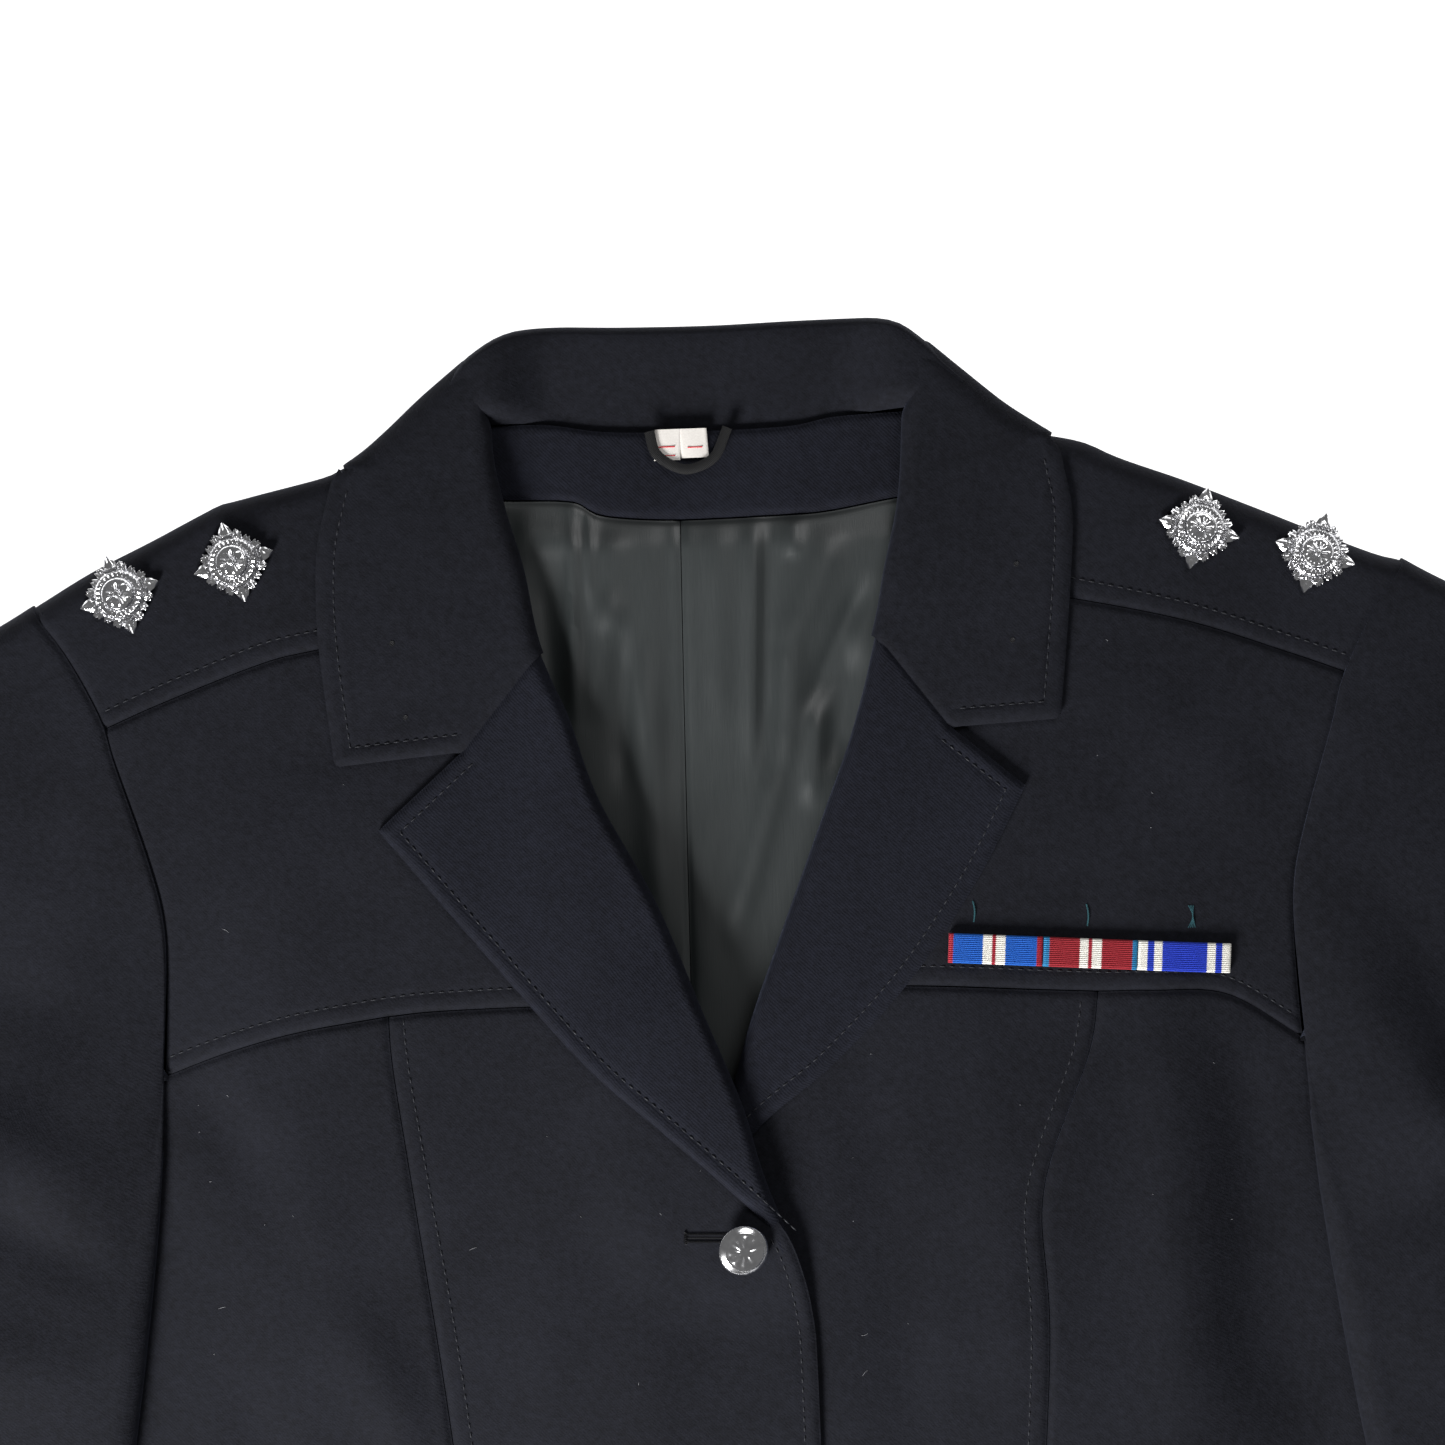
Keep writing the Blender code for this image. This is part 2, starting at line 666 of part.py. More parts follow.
def build_back():
    """The back panel on the floor, with its shoulders, armholes, sides and hem."""
    left = body_outline(-1)
    right = body_outline(1)
    shoulder_right = moved(smooth_curve(HALVES["right"]["shoulder"], SHOULDER_COLUMNS), BACK_TUCK)
    shoulder_left = moved(smooth_curve(HALVES["left"]["shoulder"], SHOULDER_COLUMNS), BACK_TUCK)
    neck = smooth_curve(NECK_SEAM, NECK_COLUMNS) - [0, SEAM_GAP]
    top = np.vstack([shoulder_right[::-1] * [-1, 1], neck[1:-1], shoulder_left])
    bottom = spaced([left[0], right[0]], len(top))
    left[-1] = top[0]
    right[-1] = top[-1]
    points, normals = on_face(patch(left, right, bottom, top), back_face)
    normals = np.zeros_like(normals) + [0, 0, 1]
    wool_wall("back", points, normals)


def build_lapel(side, half):
    """A lapel turned back on the front: roll line, notch, peak and outer edge."""
    sign = half["sign"]
    front = right_front_face if side == "right" else left_front_face

    def face(x, y):
        tucked = smoothstep(EDGE_SET_BACK_Y, EDGE_SET_BACK_Y + LAPEL_TUCK_LENGTH, y)
        return front(x, y) + LAID_GAP + DOUBLE_WOOL + BREAK_LIFT * (1 - tucked)

    roll = cut_above(roll_points(half), half["gorge"][0].y)
    roll = spaced(roll, LAPEL_ROWS + 1)[::-1]
    toward_neck = side_of(roll) * -1
    left = roll - toward_neck * ROLL_RIM
    right = smooth_curve(half["lapel_edge"], LAPEL_ROWS + 1)[::-1]
    gorge = spaced([left[-1], half["gorge"][1]], 4) - [0, SEAM_GAP]
    notch = spaced([gorge[-1], half["peak"]], 4)
    top = joined(gorge, notch)
    left[-1] = top[0]
    right[-1] = top[-1]
    bottom = spaced([left[0], right[0]], len(top))
    points, normals = on_face(patch(left, right, bottom, top), face, sign)
    points, normals = turned(points[:, ::-1], normals[:, ::-1])
    tucked = smoothstep(EDGE_SET_BACK_Y, EDGE_SET_BACK_Y + LAPEL_TUCK_LENGTH, left[:, 1])
    over = LAID_GAP + BREAK_LIFT
    low = front(left[:, 0] * sign, left[:, 1]) + over - (over + WOOL + SEAM_GAP) * tucked
    points, normals = rim_rows(points, normals, toward_neck * [sign, 1], ROLL_RIM, low)
    wool_wall(f"lapel_{side}", points, normals, DOUBLE_WOOL)


def leaf_plan(half):
    """Plan of a collar leaf, and the way out of its shoulder edge.

    Rows run from the shoulder wrap to the points, and columns from the roll to the outer edge.
    """
    corner = np.array(half["collar_corner"], float)
    edge_top = np.array(half["leaf_edge"][0], float) + LEAF_WRAP_AHEAD
    along = (edge_top - corner) / np.linalg.norm(edge_top - corner)
    outward = np.array([-along[1], along[0]])
    inset = COLLAR_WRAP + DOUBLE_WOOL
    start = corner - outward * inset + along * (ROLL_RIM + LEAF_CORNER_SPACE)
    end = edge_top - outward * inset
    top = spaced([start, end], LEAF_COLUMNS)
    gorge_start, gorge_end = (np.array(place, float) for place in half["gorge"])
    roll = cut_above(roll_points(half), start[1] - LEAF_TURN_LENGTH)
    roll = np.vstack([roll[roll[:, 1] >= gorge_start[1]], gorge_start])
    inner = spaced(np.vstack([start, roll - side_of(roll) * ROLL_RIM]), LEAF_ROWS)
    outer = smooth_curve([Place(*end)] + half["leaf_edge"][1:], LEAF_ROWS)
    half_columns = LEAF_COLUMNS // 2
    gorge = spaced([inner[-1], gorge_end + [0.0, SEAM_GAP]], half_columns + 1)
    lower = joined(gorge, spaced([gorge[-1], outer[-1]], LEAF_COLUMNS - half_columns))
    columns = patch(top, lower, inner, outer)
    return columns.transpose(1, 0, 2), outward


def rolled_over(grid, levels):
    """The grid with a rounded roll added past its last column, up or down to each row's level."""
    edge = grid[:, -1]
    toward = edge - grid[:, -2]
    toward[:, 2] = 0.0
    toward = toward / np.linalg.norm(toward, axis=1)[:, None]
    columns = [grid]
    for angle in np.linspace(0, math.pi / 2, RIM_STEPS + 1)[1:]:
        column = edge + toward * ROLL_RIM * math.sin(angle)
        column[:, 2] = levels + (edge[:, 2] - levels) * math.cos(angle)
        columns.append(column[:, None])
    return np.concatenate(columns, axis=1)


def leaf_strip(side, half):
    """One leaf with its wrap round the shoulder silhouette, and the level that its roll goes down to."""
    sign = half["sign"]
    face = right_front_face if side == "right" else left_front_face
    plan, outward = leaf_plan(half)
    x = plan[..., 0] * sign
    y = plan[..., 1]
    leaf = np.stack([x, y, face(x, y) + LAID_GAP], axis=-1)
    first = leaf[0]
    middle = (first[:, 2] + DOUBLE_WOOL) / 2
    reach = (first[:, 2] - DOUBLE_WOOL) / 2
    wrap = []
    for angle in np.linspace(-math.pi / 2, math.pi / 2, LEAF_WRAP_STEPS + 1)[:-1]:
        row = first.copy()
        row[:, 0] += outward[0] * sign * COLLAR_WRAP * math.cos(angle)
        row[:, 1] += outward[1] * COLLAR_WRAP * math.cos(angle)
        row[:, 2] = middle + reach * math.sin(angle)
        wrap.append(row)
    leaf_levels = face(x[:, 0], y[:, 0]) - WOOL - SEAM_GAP
    wrap_levels = np.linspace(FOLDED_ROLL_LEVEL, leaf_levels[0], LEAF_WRAP_STEPS + 1)[:-1]
    return np.concatenate([np.array(wrap), leaf]), np.concatenate([wrap_levels, leaf_levels])


def build_collar_fall():
    """The fall: a leaf on each shoulder, joined by the strip that is folded under the back neck."""
    right_strip, right_levels = leaf_strip("right", HALVES["right"])
    left_strip, left_levels = leaf_strip("left", HALVES["left"])
    flat = np.linspace(COLLAR_TOP_Y - ROLL_RIM - DOUBLE_WOOL, FALL_LOWER_Y, LEAF_COLUMNS)
    folded = []
    for share in np.linspace(0, 1, FOLDED_UNDER_STEPS + 1)[1:-1]:
        row = right_strip[0] * (1 - share) + left_strip[0] * share
        flattened = smoothstep(0.0, 0.3, min(share, 1 - share))
        row[:, 1] = row[:, 1] * (1 - flattened) + flat * flattened
        folded.append(row)
    folded_levels = np.full(len(folded), FOLDED_ROLL_LEVEL)
    inner = np.concatenate([right_strip[::-1], np.array(folded), left_strip])
    levels = np.concatenate([right_levels[::-1], folded_levels, left_levels])
    inner = rolled_over(inner[:, ::-1], levels)
    normals = grid_normals(inner)
    if normals[0, 0, 2] < 0:
        normals = -normals
    wool_wall("collar_fall", inner + normals * DOUBLE_WOOL, normals, DOUBLE_WOOL)


def build_collar_stand():
    """The stand seen inside the back neck, from the neck seam up to the roll."""
    bottom = smooth_curve(NECK_SEAM, NECK_COLUMNS)
    top = smooth_curve(STAND_TOP, NECK_COLUMNS)
    left = spaced([bottom[0], top[0]], STAND_ROWS)
    right = spaced([bottom[-1], top[-1]], STAND_ROWS)

    def face(x, y):
        rise = smoothstep(NECK_SEAM_Y, COLLAR_TOP_Y, y)
        return np.full(np.shape(x), FALL_UNDER_NECK + SEAM_GAP + WOOL) + STAND_ROLL_RISE * rise

    points, normals = on_face(patch(left, right, bottom, top), face)
    wool_wall("collar_stand", points, normals)


def build_facing():
    """The wool facing under the back neck seam."""
    bottom = smooth_curve(FACING_EDGE, FACING_COLUMNS)
    below_seam = [Place(place.out, place.y - 4 * SEAM_GAP) for place in NECK_SEAM[1:-1]]
    top = smooth_curve([FACING_CORNERS[0]] + below_seam + [FACING_CORNERS[1]], FACING_COLUMNS)
    left = spaced([bottom[0], top[0]], FACING_ROWS)
    right = spaced([bottom[-1], top[-1]], FACING_ROWS)
    points, normals = on_face(patch(left, right, bottom, top), facing_face)
    wool_wall("back_neck_facing", points, normals)


def build_lining():
    """Both halves of the back lining, as far as the neck shows it."""
    seam = smooth_curve(LINING_SEAM, LINING_ROWS)[::-1]
    edge = smooth_curve(FACING_EDGE, 60) - [0, 2 * SEAM_GAP]
    for side, sign in (("right", -1), ("left", 1)):
        start_x = seam[-1, 0] + sign * SEAM_GAP / 2
        xs = np.linspace(start_x, sign * LINING_TOP_HALF, LINING_COLUMNS)
        top = np.column_stack([xs, np.interp(xs, edge[:, 0], edge[:, 1])])
        inner = seam + [sign * SEAM_GAP / 2, 0]
        inner[-1] = top[0]
        outer = spaced([(sign * LINING_BOTTOM_HALF, LINING_BOTTOM_Y), top[-1]], LINING_ROWS)
        bottom = spaced([inner[0], outer[0]], LINING_COLUMNS)
        points, normals = on_face(patch(inner, outer, bottom, top), lining_face)
        wall(f"back_lining_{side}", points, normals, LINING, "satin_lining", LINING_TONE)


def under_sleeve_low(sign, x, y):
    """Underside of the sleeve's lower cloth: on the body's side, then down to the floor outside it."""
    out = np.abs(x)
    edge_points = smooth_curve(SIDE_SEAM, 40)[::-1]
    edge = np.interp(y, edge_points[:, 1], edge_points[:, 0])
    on_body = left_front_face(x, y) + SLEEVE_GAP
    floor_share = smoothstep(edge + FLOOR_FROM, edge + FLOOR_REACHED, out)
    above = smoothstep(-164.0, -140.0, y) * smoothstep(246.0, 285.0, out + (y + 164.0) * 0.6)
    return on_body * (1 - floor_share) * (1 - above)


def build_under_sleeve(side, sign):
    """The under sleeve: from the back armhole on the floor and the lower front armhole, to the cuff."""
    inner = smooth_curve(INNER_FOLD, 18)
    lower = smooth_curve(UNDERARM, 6)
    armhole = smooth_curve(BACK_ARMHOLE, 9) + [4.0, 0]
    armhole[0] = lower[-1] + [6.0, 8.0]
    outer = smooth_curve(OUTER_FOLD, 26)[1:]
    cuff = spaced([inner[-1], outer[-1]], 16)
    outline = np.vstack([lower, armhole, outer, cuff[::-1][1:-1], inner[::-1][:-1]])
    outline = outline[outline[:, 1] <= OUTER_FOLD[0].y + 1]
    inside = []
    edge = smooth_curve(SIDE_SEAM, 22)[1:-3]
    for offset in BESIDE_SIDE_SEAM:
        inside.extend(map(tuple, edge + [offset, -4.0]))
    edge_x = np.interp(np.arange(CUFF_Y, 0), edge[::-1, 1], edge[::-1, 0])
    for out in np.arange(UNDERARM[0].out, OUTER_FOLD[-1].out, UNDER_SLEEVE_SPACING):
        for y in np.arange(CUFF_Y + UNDER_SLEEVE_SPACING / 2, OUTER_FOLD[0].y - 1, UNDER_SLEEVE_SPACING):
            nearest = np.hypot(*(outline - [out, y]).T).min()
            beside_edge = y < -150 and abs(out - edge_x[int(y - CUFF_Y)] - 2) < 26
            if nearest > UNDER_SLEEVE_SPACING * 0.45 and not beside_edge:
                inside.append((out, y))
    count = len(outline)
    border = [(index, (index + 1) % count) for index in range(count)]
    coordinates = [Vector(place) for place in np.vstack([outline, np.array(inside)])]
    found = delaunay_2d_cdt(coordinates, border, [list(range(count))], 1, 1e-4)
    plan = np.array([tuple(vertex) for vertex in found[0]])
    triangles = found[2]
    x = plan[:, 0] * sign
    y = plan[:, 1]
    low = under_sleeve_low(sign, x, y)
    lower_face = np.column_stack([x, y, low])
    upper_face = lower_face + [0, 0, WOOL]
    total = len(plan)
    faces = []
    for triangle in triangles:
        faces.append(list(triangle))
        faces.append([index + total for index in reversed(triangle)])
    used = {}
    for triangle in triangles:
        for start, end in zip(triangle, triangle[1:] + triangle[:1]):
            used[(start, end)] = True
    for start, end in used:
        if (end, start) not in used:
            faces.append([end, start, start + total, end + total])
    solid(f"sleeve_under_{side}", np.vstack([lower_face, upper_face]), faces, "navy_wool", WOOL_TONE)


def build_top_sleeve(side, half):
    """The top sleeve: from the armhole seam, between the two folds, down to the cuff."""
    sign = half["sign"]
    armhole = smooth_curve(FRONT_ARMHOLE, SLEEVE_COLUMNS) + [2 * SEAM_GAP, 0]
    inner_edge = smooth_curve(INNER_FOLD, SLEEVE_ROWS)[::-1]
    outer_edge = smooth_curve(OUTER_FOLD, SLEEVE_ROWS)[::-1]
    inner_out = side_of(inner_edge) * -1
    outer_out = side_of(outer_edge)
    inner_out[0] = [-1.0, 0.0]
    outer_out[0] = [1.0, 0.0]
    rim_share = smoothstep(0, 3, np.arange(SLEEVE_ROWS)[::-1])[:, None]
    inner_depth = SIDE_RIM * rim_share + UNDERARM_RIM * (1 - rim_share)
    left = inner_edge - inner_out * inner_depth
    right = outer_edge - outer_out * SIDE_RIM
    top = armhole.copy()
    top[0] = left[-1]
    top[-1] = right[-1]
    bottom = spaced([left[0], right[0]], SLEEVE_COLUMNS)
    plan = patch(left, right, bottom, top)
    x = plan[..., 0] * sign
    y = plan[..., 1]
    seam_height = left_front_face(armhole[:, 0] * sign, armhole[:, 1])
    proud = np.linspace(SEAM_PROUD, 0.0, SLEEVE_COLUMNS)
    under = under_sleeve_low(sign, x, y) + WOOL
    across = np.linspace(0, 1, SLEEVE_COLUMNS)[None, :]
    down = np.linspace(1, 0, SLEEVE_ROWS)[:, None]
    crown = SLEEVE_CROWN * np.sin(math.pi * across) * (1 - 0.3 * down)
    hollow = SLEEVE_HOLLOW + crown
    free = under + hollow + fold_relief(SLEEVE_FOLDS, np.abs(x), y)
    reached = smoothstep(0.0, SLEEVE_RISE_SHARE, down)
    free = np.maximum(free, under + LEAST_HOLLOW)
    height = (seam_height + proud)[None, :] * (1 - reached) + free * reached
    points = np.stack([x, y, height], axis=-1)
    normals = grid_normals(points)
    normals = np.where(normals[..., 2:] < 0, -normals, normals)
    points, normals = turned(points, normals)
    low_out = under_sleeve_low(sign, outer_edge[:, 0] * sign, outer_edge[:, 1]) + WOOL + SEAM_GAP
    points, normals = rim_rows(points, normals, outer_out * [sign, 1], SIDE_RIM, low_out)
    points = points[::-1]
    normals = normals[::-1]
    low_in = under_sleeve_low(sign, inner_edge[:, 0] * sign, inner_edge[:, 1]) + WOOL + SEAM_GAP
    points, normals = rim_rows(points, normals, inner_out * [sign, 1], inner_depth, low_in)
    wool_wall(f"sleeve_top_{side}", points, normals)


def turned_solid(name, rings, steps, place, axis, spin, finish, tone):
    """A solid of rings round an axis: each ring is a radius function and a height."""
    vertices = [(0.0, 0.0, rings[0][1])]
    for radius, height in rings:
        for step in range(steps):
            angle = 2 * math.pi * step / steps
            reach = radius(angle)
            vertices.append((reach * math.cos(angle), reach * math.sin(angle), height))
    vertices.append((0.0, 0.0, rings[-1][1]))
    faces = []
    last = len(vertices) - 1
    for step in range(steps):
        following = (step + 1) % steps
        faces.append([0, 1 + following, 1 + step])
        for ring in range(len(rings) - 1):
            low = 1 + ring * steps
            high = low + steps
            faces.append([low + step, low + following, high + following, high + step])
        top = 1 + (len(rings) - 1) * steps
        faces.append([top + step, top + following, last])
    turn = Vector((0, 0, 1)).rotation_difference(Vector(axis)).to_matrix() @ Matrix.Rotation(spin, 3, "Z")
    placed = [turn @ Vector(vertex) + Vector(place) for vertex in vertices]
    return solid(name, placed, faces, finish, tone)


def round_ring(radius, height):
    return (lambda angle: radius, height)


def star_ring(share, height):
    """A ring of the star: a square standing on its corner, with leaf-like rays along its sides."""
    def radius(angle):
        square = STAR_REACH / (abs(math.cos(angle)) + abs(math.sin(angle)))
        return share * square * (1.0 + 0.05 * math.cos(12 * angle))
    return (radius, height)


def build_buttons():
    """The buttons of the lap: domed, each on its shank."""
    for index in range(BUTTON_COUNT):
        y = BUTTON_FIRST_Y - BUTTON_SPACING * index
        height = float(right_front_face(BUTTON_X, y)) + LAID_GAP + SHANK_RADIUS * math.sin(BUTTON_TILT)
        rings = [round_ring(SHANK_RADIUS, 0.0), round_ring(SHANK_RADIUS, 1.4)]
        rings += [round_ring(radius, level) for radius, level in BUTTON_PROFILE]
        axis = (math.sin(BUTTON_TILT), -math.sin(BUTTON_TILT) * 0.5, math.cos(BUTTON_TILT))
        place = (BUTTON_X, y, height)
        turned_solid(f"button_{index + 1}", rings, BUTTON_STEPS, place, axis, 0.0, "chrome", CHROME_TONE)


def build_stars():
    """Two rank stars on each shoulder."""
    for side, half in HALVES.items():
        sign = half["sign"]
        for name, out, y, tilt in STAR_PLACES:
            x = out * sign
            points, normals = on_face(np.array([[[out, y]]], float), left_front_face, sign)
            normal = normals[0, 0]
            place = points[0, 0] + normal * STAR_LIFT
            rings = [
                star_ring(0.96, 0.0), star_ring(1.0, 0.9), star_ring(0.72, 2.0), round_ring(6.9, 2.6),
                round_ring(6.6, 3.9), round_ring(4.6, 4.2), round_ring(4.3, 5.4), round_ring(2.4, 6.6),
            ]
            turned_solid(
                f"rank_star_{side}_{name}", rings, STAR_STEPS, place, normal, math.radians(-tilt * sign),
                "chrome", CHROME_TONE,
            )


def build_ribbons():
    """Three medal ribbons side by side on one bar, on the left chest."""
    blue = ("blue_ribbon", BLUE_RIBBON_TONE)
    red = ("red_ribbon", RED_RIBBON_TONE)
    for index, (finish, tone) in enumerate([blue, red, blue]):
        start = (index - 1.5) * RIBBON_WIDTH + SEAM_GAP / 2
        end = (index - 0.5) * RIBBON_WIDTH - SEAM_GAP / 2
        along = np.linspace(start, end, 5)
        up = np.linspace(-RIBBON_HEIGHT / 2, RIBBON_HEIGHT / 2, 3)
        grid = np.stack(np.meshgrid(along, up), axis=-1)
        turn = np.array([
            [math.cos(RIBBON_BAR_TILT), math.sin(RIBBON_BAR_TILT)],
            [-math.sin(RIBBON_BAR_TILT), math.cos(RIBBON_BAR_TILT)],
        ])
        plan = grid @ turn + [RIBBON_BAR_X, RIBBON_BAR_Y]

        def face(x, y):
            return left_front_face(x, y) + LAID_GAP + RIBBON_THICK

        points, normals = on_face(plan, face)
        wall(f"medal_ribbon_{index + 1}", points, normals, RIBBON_THICK, finish, tone)


def build_labels():
    """Two small white labels hanging from the neck seam, under the hanger loop."""
    for name, box in LABEL_BOXES.items():
        corners = np.array([[[box.x0, box.y0], [box.x1, box.y0]], [[box.x0, box.y1], [box.x1, box.y1]]])

        def face(x, y):
            return facing_face(x, y) + SEAM_GAP + LABEL

        points, normals = on_face(corners, face)
        wall(name, points, normals, LABEL, "white_label", LABEL_TONE)


def build_hanger_loop():
    """The narrow hanger loop that sags from the neck seam over the labels."""
    middle = smooth_curve(LOOP_ROUTE, LOOP_COLUMNS)
    sides = side_of(middle)
    plan = np.stack([middle - sides * LOOP_WIDTH / 2, middle, middle + sides * LOOP_WIDTH / 2])

    def face(x, y):
        return facing_face(x, y) + 2 * SEAM_GAP + LABEL + TAPE

    points, normals = on_face(plan, face)
    wall("hanger_loop", points, normals, TAPE, "black_tape", BLACK_TONE)


def build_tunic():
    for old in list(bpy.data.objects):
        bpy.data.objects.remove(old, do_unlink=True)
    tunic = bpy.data.objects.new("tunic", None)
    bpy.context.collection.objects.link(tunic)
    tunic.location = (0.0, -(HEM_Y + COLLAR_TOP_Y) / 2 * MM, 0.0)
    bpy.context.view_layer.update()
    build_back()
    for side, half in HALVES.items():
        build_yoke(side, half)
        build_chest(side, half)
        build_centre_front(side, half)
        build_side_front(side, half)
        build_lapel(side, half)
        build_under_sleeve(side, half["sign"])
        build_top_sleeve(side, half)
    build_collar_fall()
    build_collar_stand()
    build_facing()
    build_lining()
    build_buttons()
    build_stars()
    build_ribbons()
    build_labels()
    build_hanger_loop()


build_tunic()
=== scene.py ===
# %% [markdown]
# # A police uniform tunic, laid flat
#
# A uniform tunic is cut from dense wool cloth that was fulled and brushed, so its weave hardly shows and a
# short nap softens every edge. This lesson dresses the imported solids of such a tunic: each cut piece becomes
# a thin shell on its solid's form, with rolled seams, top-stitching, creases and its own finish.

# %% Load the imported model
from collections import namedtuple
import math

import bmesh
import bpy
from mathutils import Matrix, Vector
import numpy as np


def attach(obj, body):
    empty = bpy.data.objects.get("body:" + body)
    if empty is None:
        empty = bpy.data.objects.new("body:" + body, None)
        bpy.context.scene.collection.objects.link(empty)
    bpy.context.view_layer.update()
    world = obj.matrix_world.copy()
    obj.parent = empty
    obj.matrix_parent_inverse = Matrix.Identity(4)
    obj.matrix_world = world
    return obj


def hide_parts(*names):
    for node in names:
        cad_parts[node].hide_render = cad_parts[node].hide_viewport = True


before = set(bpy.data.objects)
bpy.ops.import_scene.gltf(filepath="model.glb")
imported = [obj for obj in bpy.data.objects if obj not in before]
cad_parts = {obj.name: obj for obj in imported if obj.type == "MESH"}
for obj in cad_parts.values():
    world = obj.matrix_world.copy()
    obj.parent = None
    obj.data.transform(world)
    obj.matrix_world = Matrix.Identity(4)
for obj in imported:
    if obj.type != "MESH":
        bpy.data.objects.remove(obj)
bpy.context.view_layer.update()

print("solids in the frame:", len(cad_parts))

# %% [markdown]
# The plan is drawn in millimetres from the middle of the chest opening, as a cutter would chalk it on the
# table, and the frame is in metres with its origin under the middle of the garment. One offset joins the two.
# `Place` is a plan point that lies `out` from the centre line, so one table can serve both halves.

# %% Units and named sizes
MM = 0.001
HEM_Y = -581.0
COLLAR_TOP_Y = 133.0
CUFF_Y = -545.0
GARMENT_Y = -(HEM_Y + COLLAR_TOP_Y) / 2

WOOL = 1.8
DOUBLE_WOOL = 2.6
LINING = 1.0
LABEL = 1.0

SEAM_GAP = 0.3
LAID_GAP = 0.5
INSIDE_GAP = 0.9
SLEEVE_GAP = 1.3

SIDE_RIM = 9.0
ROLL_RIM = 4.0
COLLAR_WRAP = 8.0
PANEL_ROLL_INSET = ROLL_RIM + DOUBLE_WOOL + LAID_GAP

Place = namedtuple("Place", "out y")
Level = namedtuple("Level", "y middle side")
Fold = namedtuple("Fold", "x0 y0 x1 y1 width height")

print(f"garment is {COLLAR_TOP_Y - HEM_Y:.0f} mm long, from hem to collar")

# %% [markdown]
# The fronts do not lie dead flat: the canvas and the folded facing lift them in the middle, and they fall
# away to the side seams. A short table of levels gives that form, and each soft fold is one row of another
# table with both its ends, a half width and a height. The first table holds the folds of the solids, and the
# next ones hold the shallower creases that only the looks need.

# %% Levels and folds
FRONT_LEVELS = [
    Level(-581, 10.0, 7.0),
    Level(-450, 12.0, 7.5),
    Level(-320, 13.0, 7.5),
    Level(-240, 15.0, 8.0),
    Level(-160, 16.5, 8.5),
    Level(-100, 16.5, 10.5),
    Level(-60, 16.0, 13.0),
    Level(0, 15.5, 15.0),
    Level(60, 15.0, 14.0),
    Level(133, 13.0, 10.0),
]
SIDE_STARTS = 140.0
SIDE_REACHED = 205.0
FRONT_FOLDS = [
    Fold(-160, -150, -112, -245, 12, 2.2),
    Fold(178, -125, 186, -250, 10, -2.0),
    Fold(112, -120, 100, -230, 14, 1.6),
    Fold(-150, -260, -120, -430, 18, 2.0),
    Fold(150, -280, 130, -450, 18, 2.0),
    Fold(-60, -300, -90, -520, 20, 1.4),
    Fold(80, -330, 95, -540, 20, 1.4),
]
FRONT_CREASES = [
    Fold(-60, -110, -72, -230, 16, 1.4),
    Fold(-28, -190, -40, -320, 12, 1.1),
    Fold(-186, -112, -136, -200, 11, -2.2),
    Fold(-172, -210, -146, -330, 11, -1.8),
    Fold(-120, -205, -106, -330, 9, 1.3),
    Fold(-232, -220, -214, -420, 16, 1.6),
    Fold(46, -120, 58, -260, 13, -1.6),
    Fold(84, -110, 92, -235, 12, 1.4),
    Fold(146, -104, 150, -250, 12, 1.9),
    Fold(170, -112, 172, -240, 9, -2.0),
    Fold(206, -150, 222, -300, 12, 1.6),
    Fold(40, -280, 30, -430, 16, -1.2),
    Fold(-100, -20, -180, -60, 16, 0.9),
    Fold(-88, 16, -150, -12, 12, -0.8),
    Fold(130, 10, 190, -40, 14, 0.9),
    Fold(-20, -360, -34, -560, 15, 0.8),
    Fold(196, -380, 204, -560, 16, 1.0),
    Fold(-250, -420, -244, -570, 14, 0.9),
]
LINING_FOLDS = [
    Fold(-48.3, 76, -50.5, 4, 2.5, 2.4),
    Fold(-42.8, 74, -43.9, 43, 1.8, 1.5),
    Fold(-60, 56, -57, 2, 5, -2.4),
    Fold(-68, 68, -50, 67, 6, 1.8),
    Fold(-35, 66, -38, 34, 6, 1.5),
    Fold(-36, 44, -46, 6, 6, 1.7),
    Fold(-33.6, 30, -34.4, -20, 4, -1.5),
    Fold(-27.5, 24, -22.5, -70, 5.5, 2.4),
    Fold(-17, 70, -16, -20, 4, -1.2),
    Fold(1, 68, -1, 0, 4.5, 1.1),
    Fold(13.3, 69, 9.5, -12, 3, 1.9),
    Fold(18, 68, 14.5, -12, 3.5, -1.6),
    Fold(27, 69, 26, 56, 2.5, 1.3),
    Fold(40, 62, 25, 28, 6, 2.2),
    Fold(25, 32, 21, -14, 5, 2.6),
    Fold(21, -10, 1, -72, 5, 2.4),
    Fold(50, 46, 31, 6, 4, -2.4),
    Fold(33, 4, 29, -28, 3.5, 1.9),
    Fold(44, 24, 38, -16, 5, -2.4),
    Fold(-6, -30, -8, -90, 5, 1.2),
]
LINING_EASE = 2.4
SLEEVE_FOLDS = [
    Fold(215, -150, 330, -95, 14, 3.4),
    Fold(225, -215, 350, -175, 16, 3.0),
    Fold(206, -60, 262, -40, 11, 1.6),
    Fold(212, -100, 280, -66, 10, -1.8),
    Fold(214, -180, 270, -150, 9, -1.8),
    Fold(350, -290, 250, -330, 18, 3.0),
    Fold(380, -390, 270, -400, 16, 2.4),
]

# The right front laps over the left one, and both lapels lie between at the crossing
LAP_LIFT = 2.9
CROSSING_LIFT = 3.6
CROSSING_Y = -136.0
CROSSING_NEAR = 38.0
CROSSING_FAR = 75.0
LAP_FULL_X = -30.0
LAP_GONE_X = -85.0

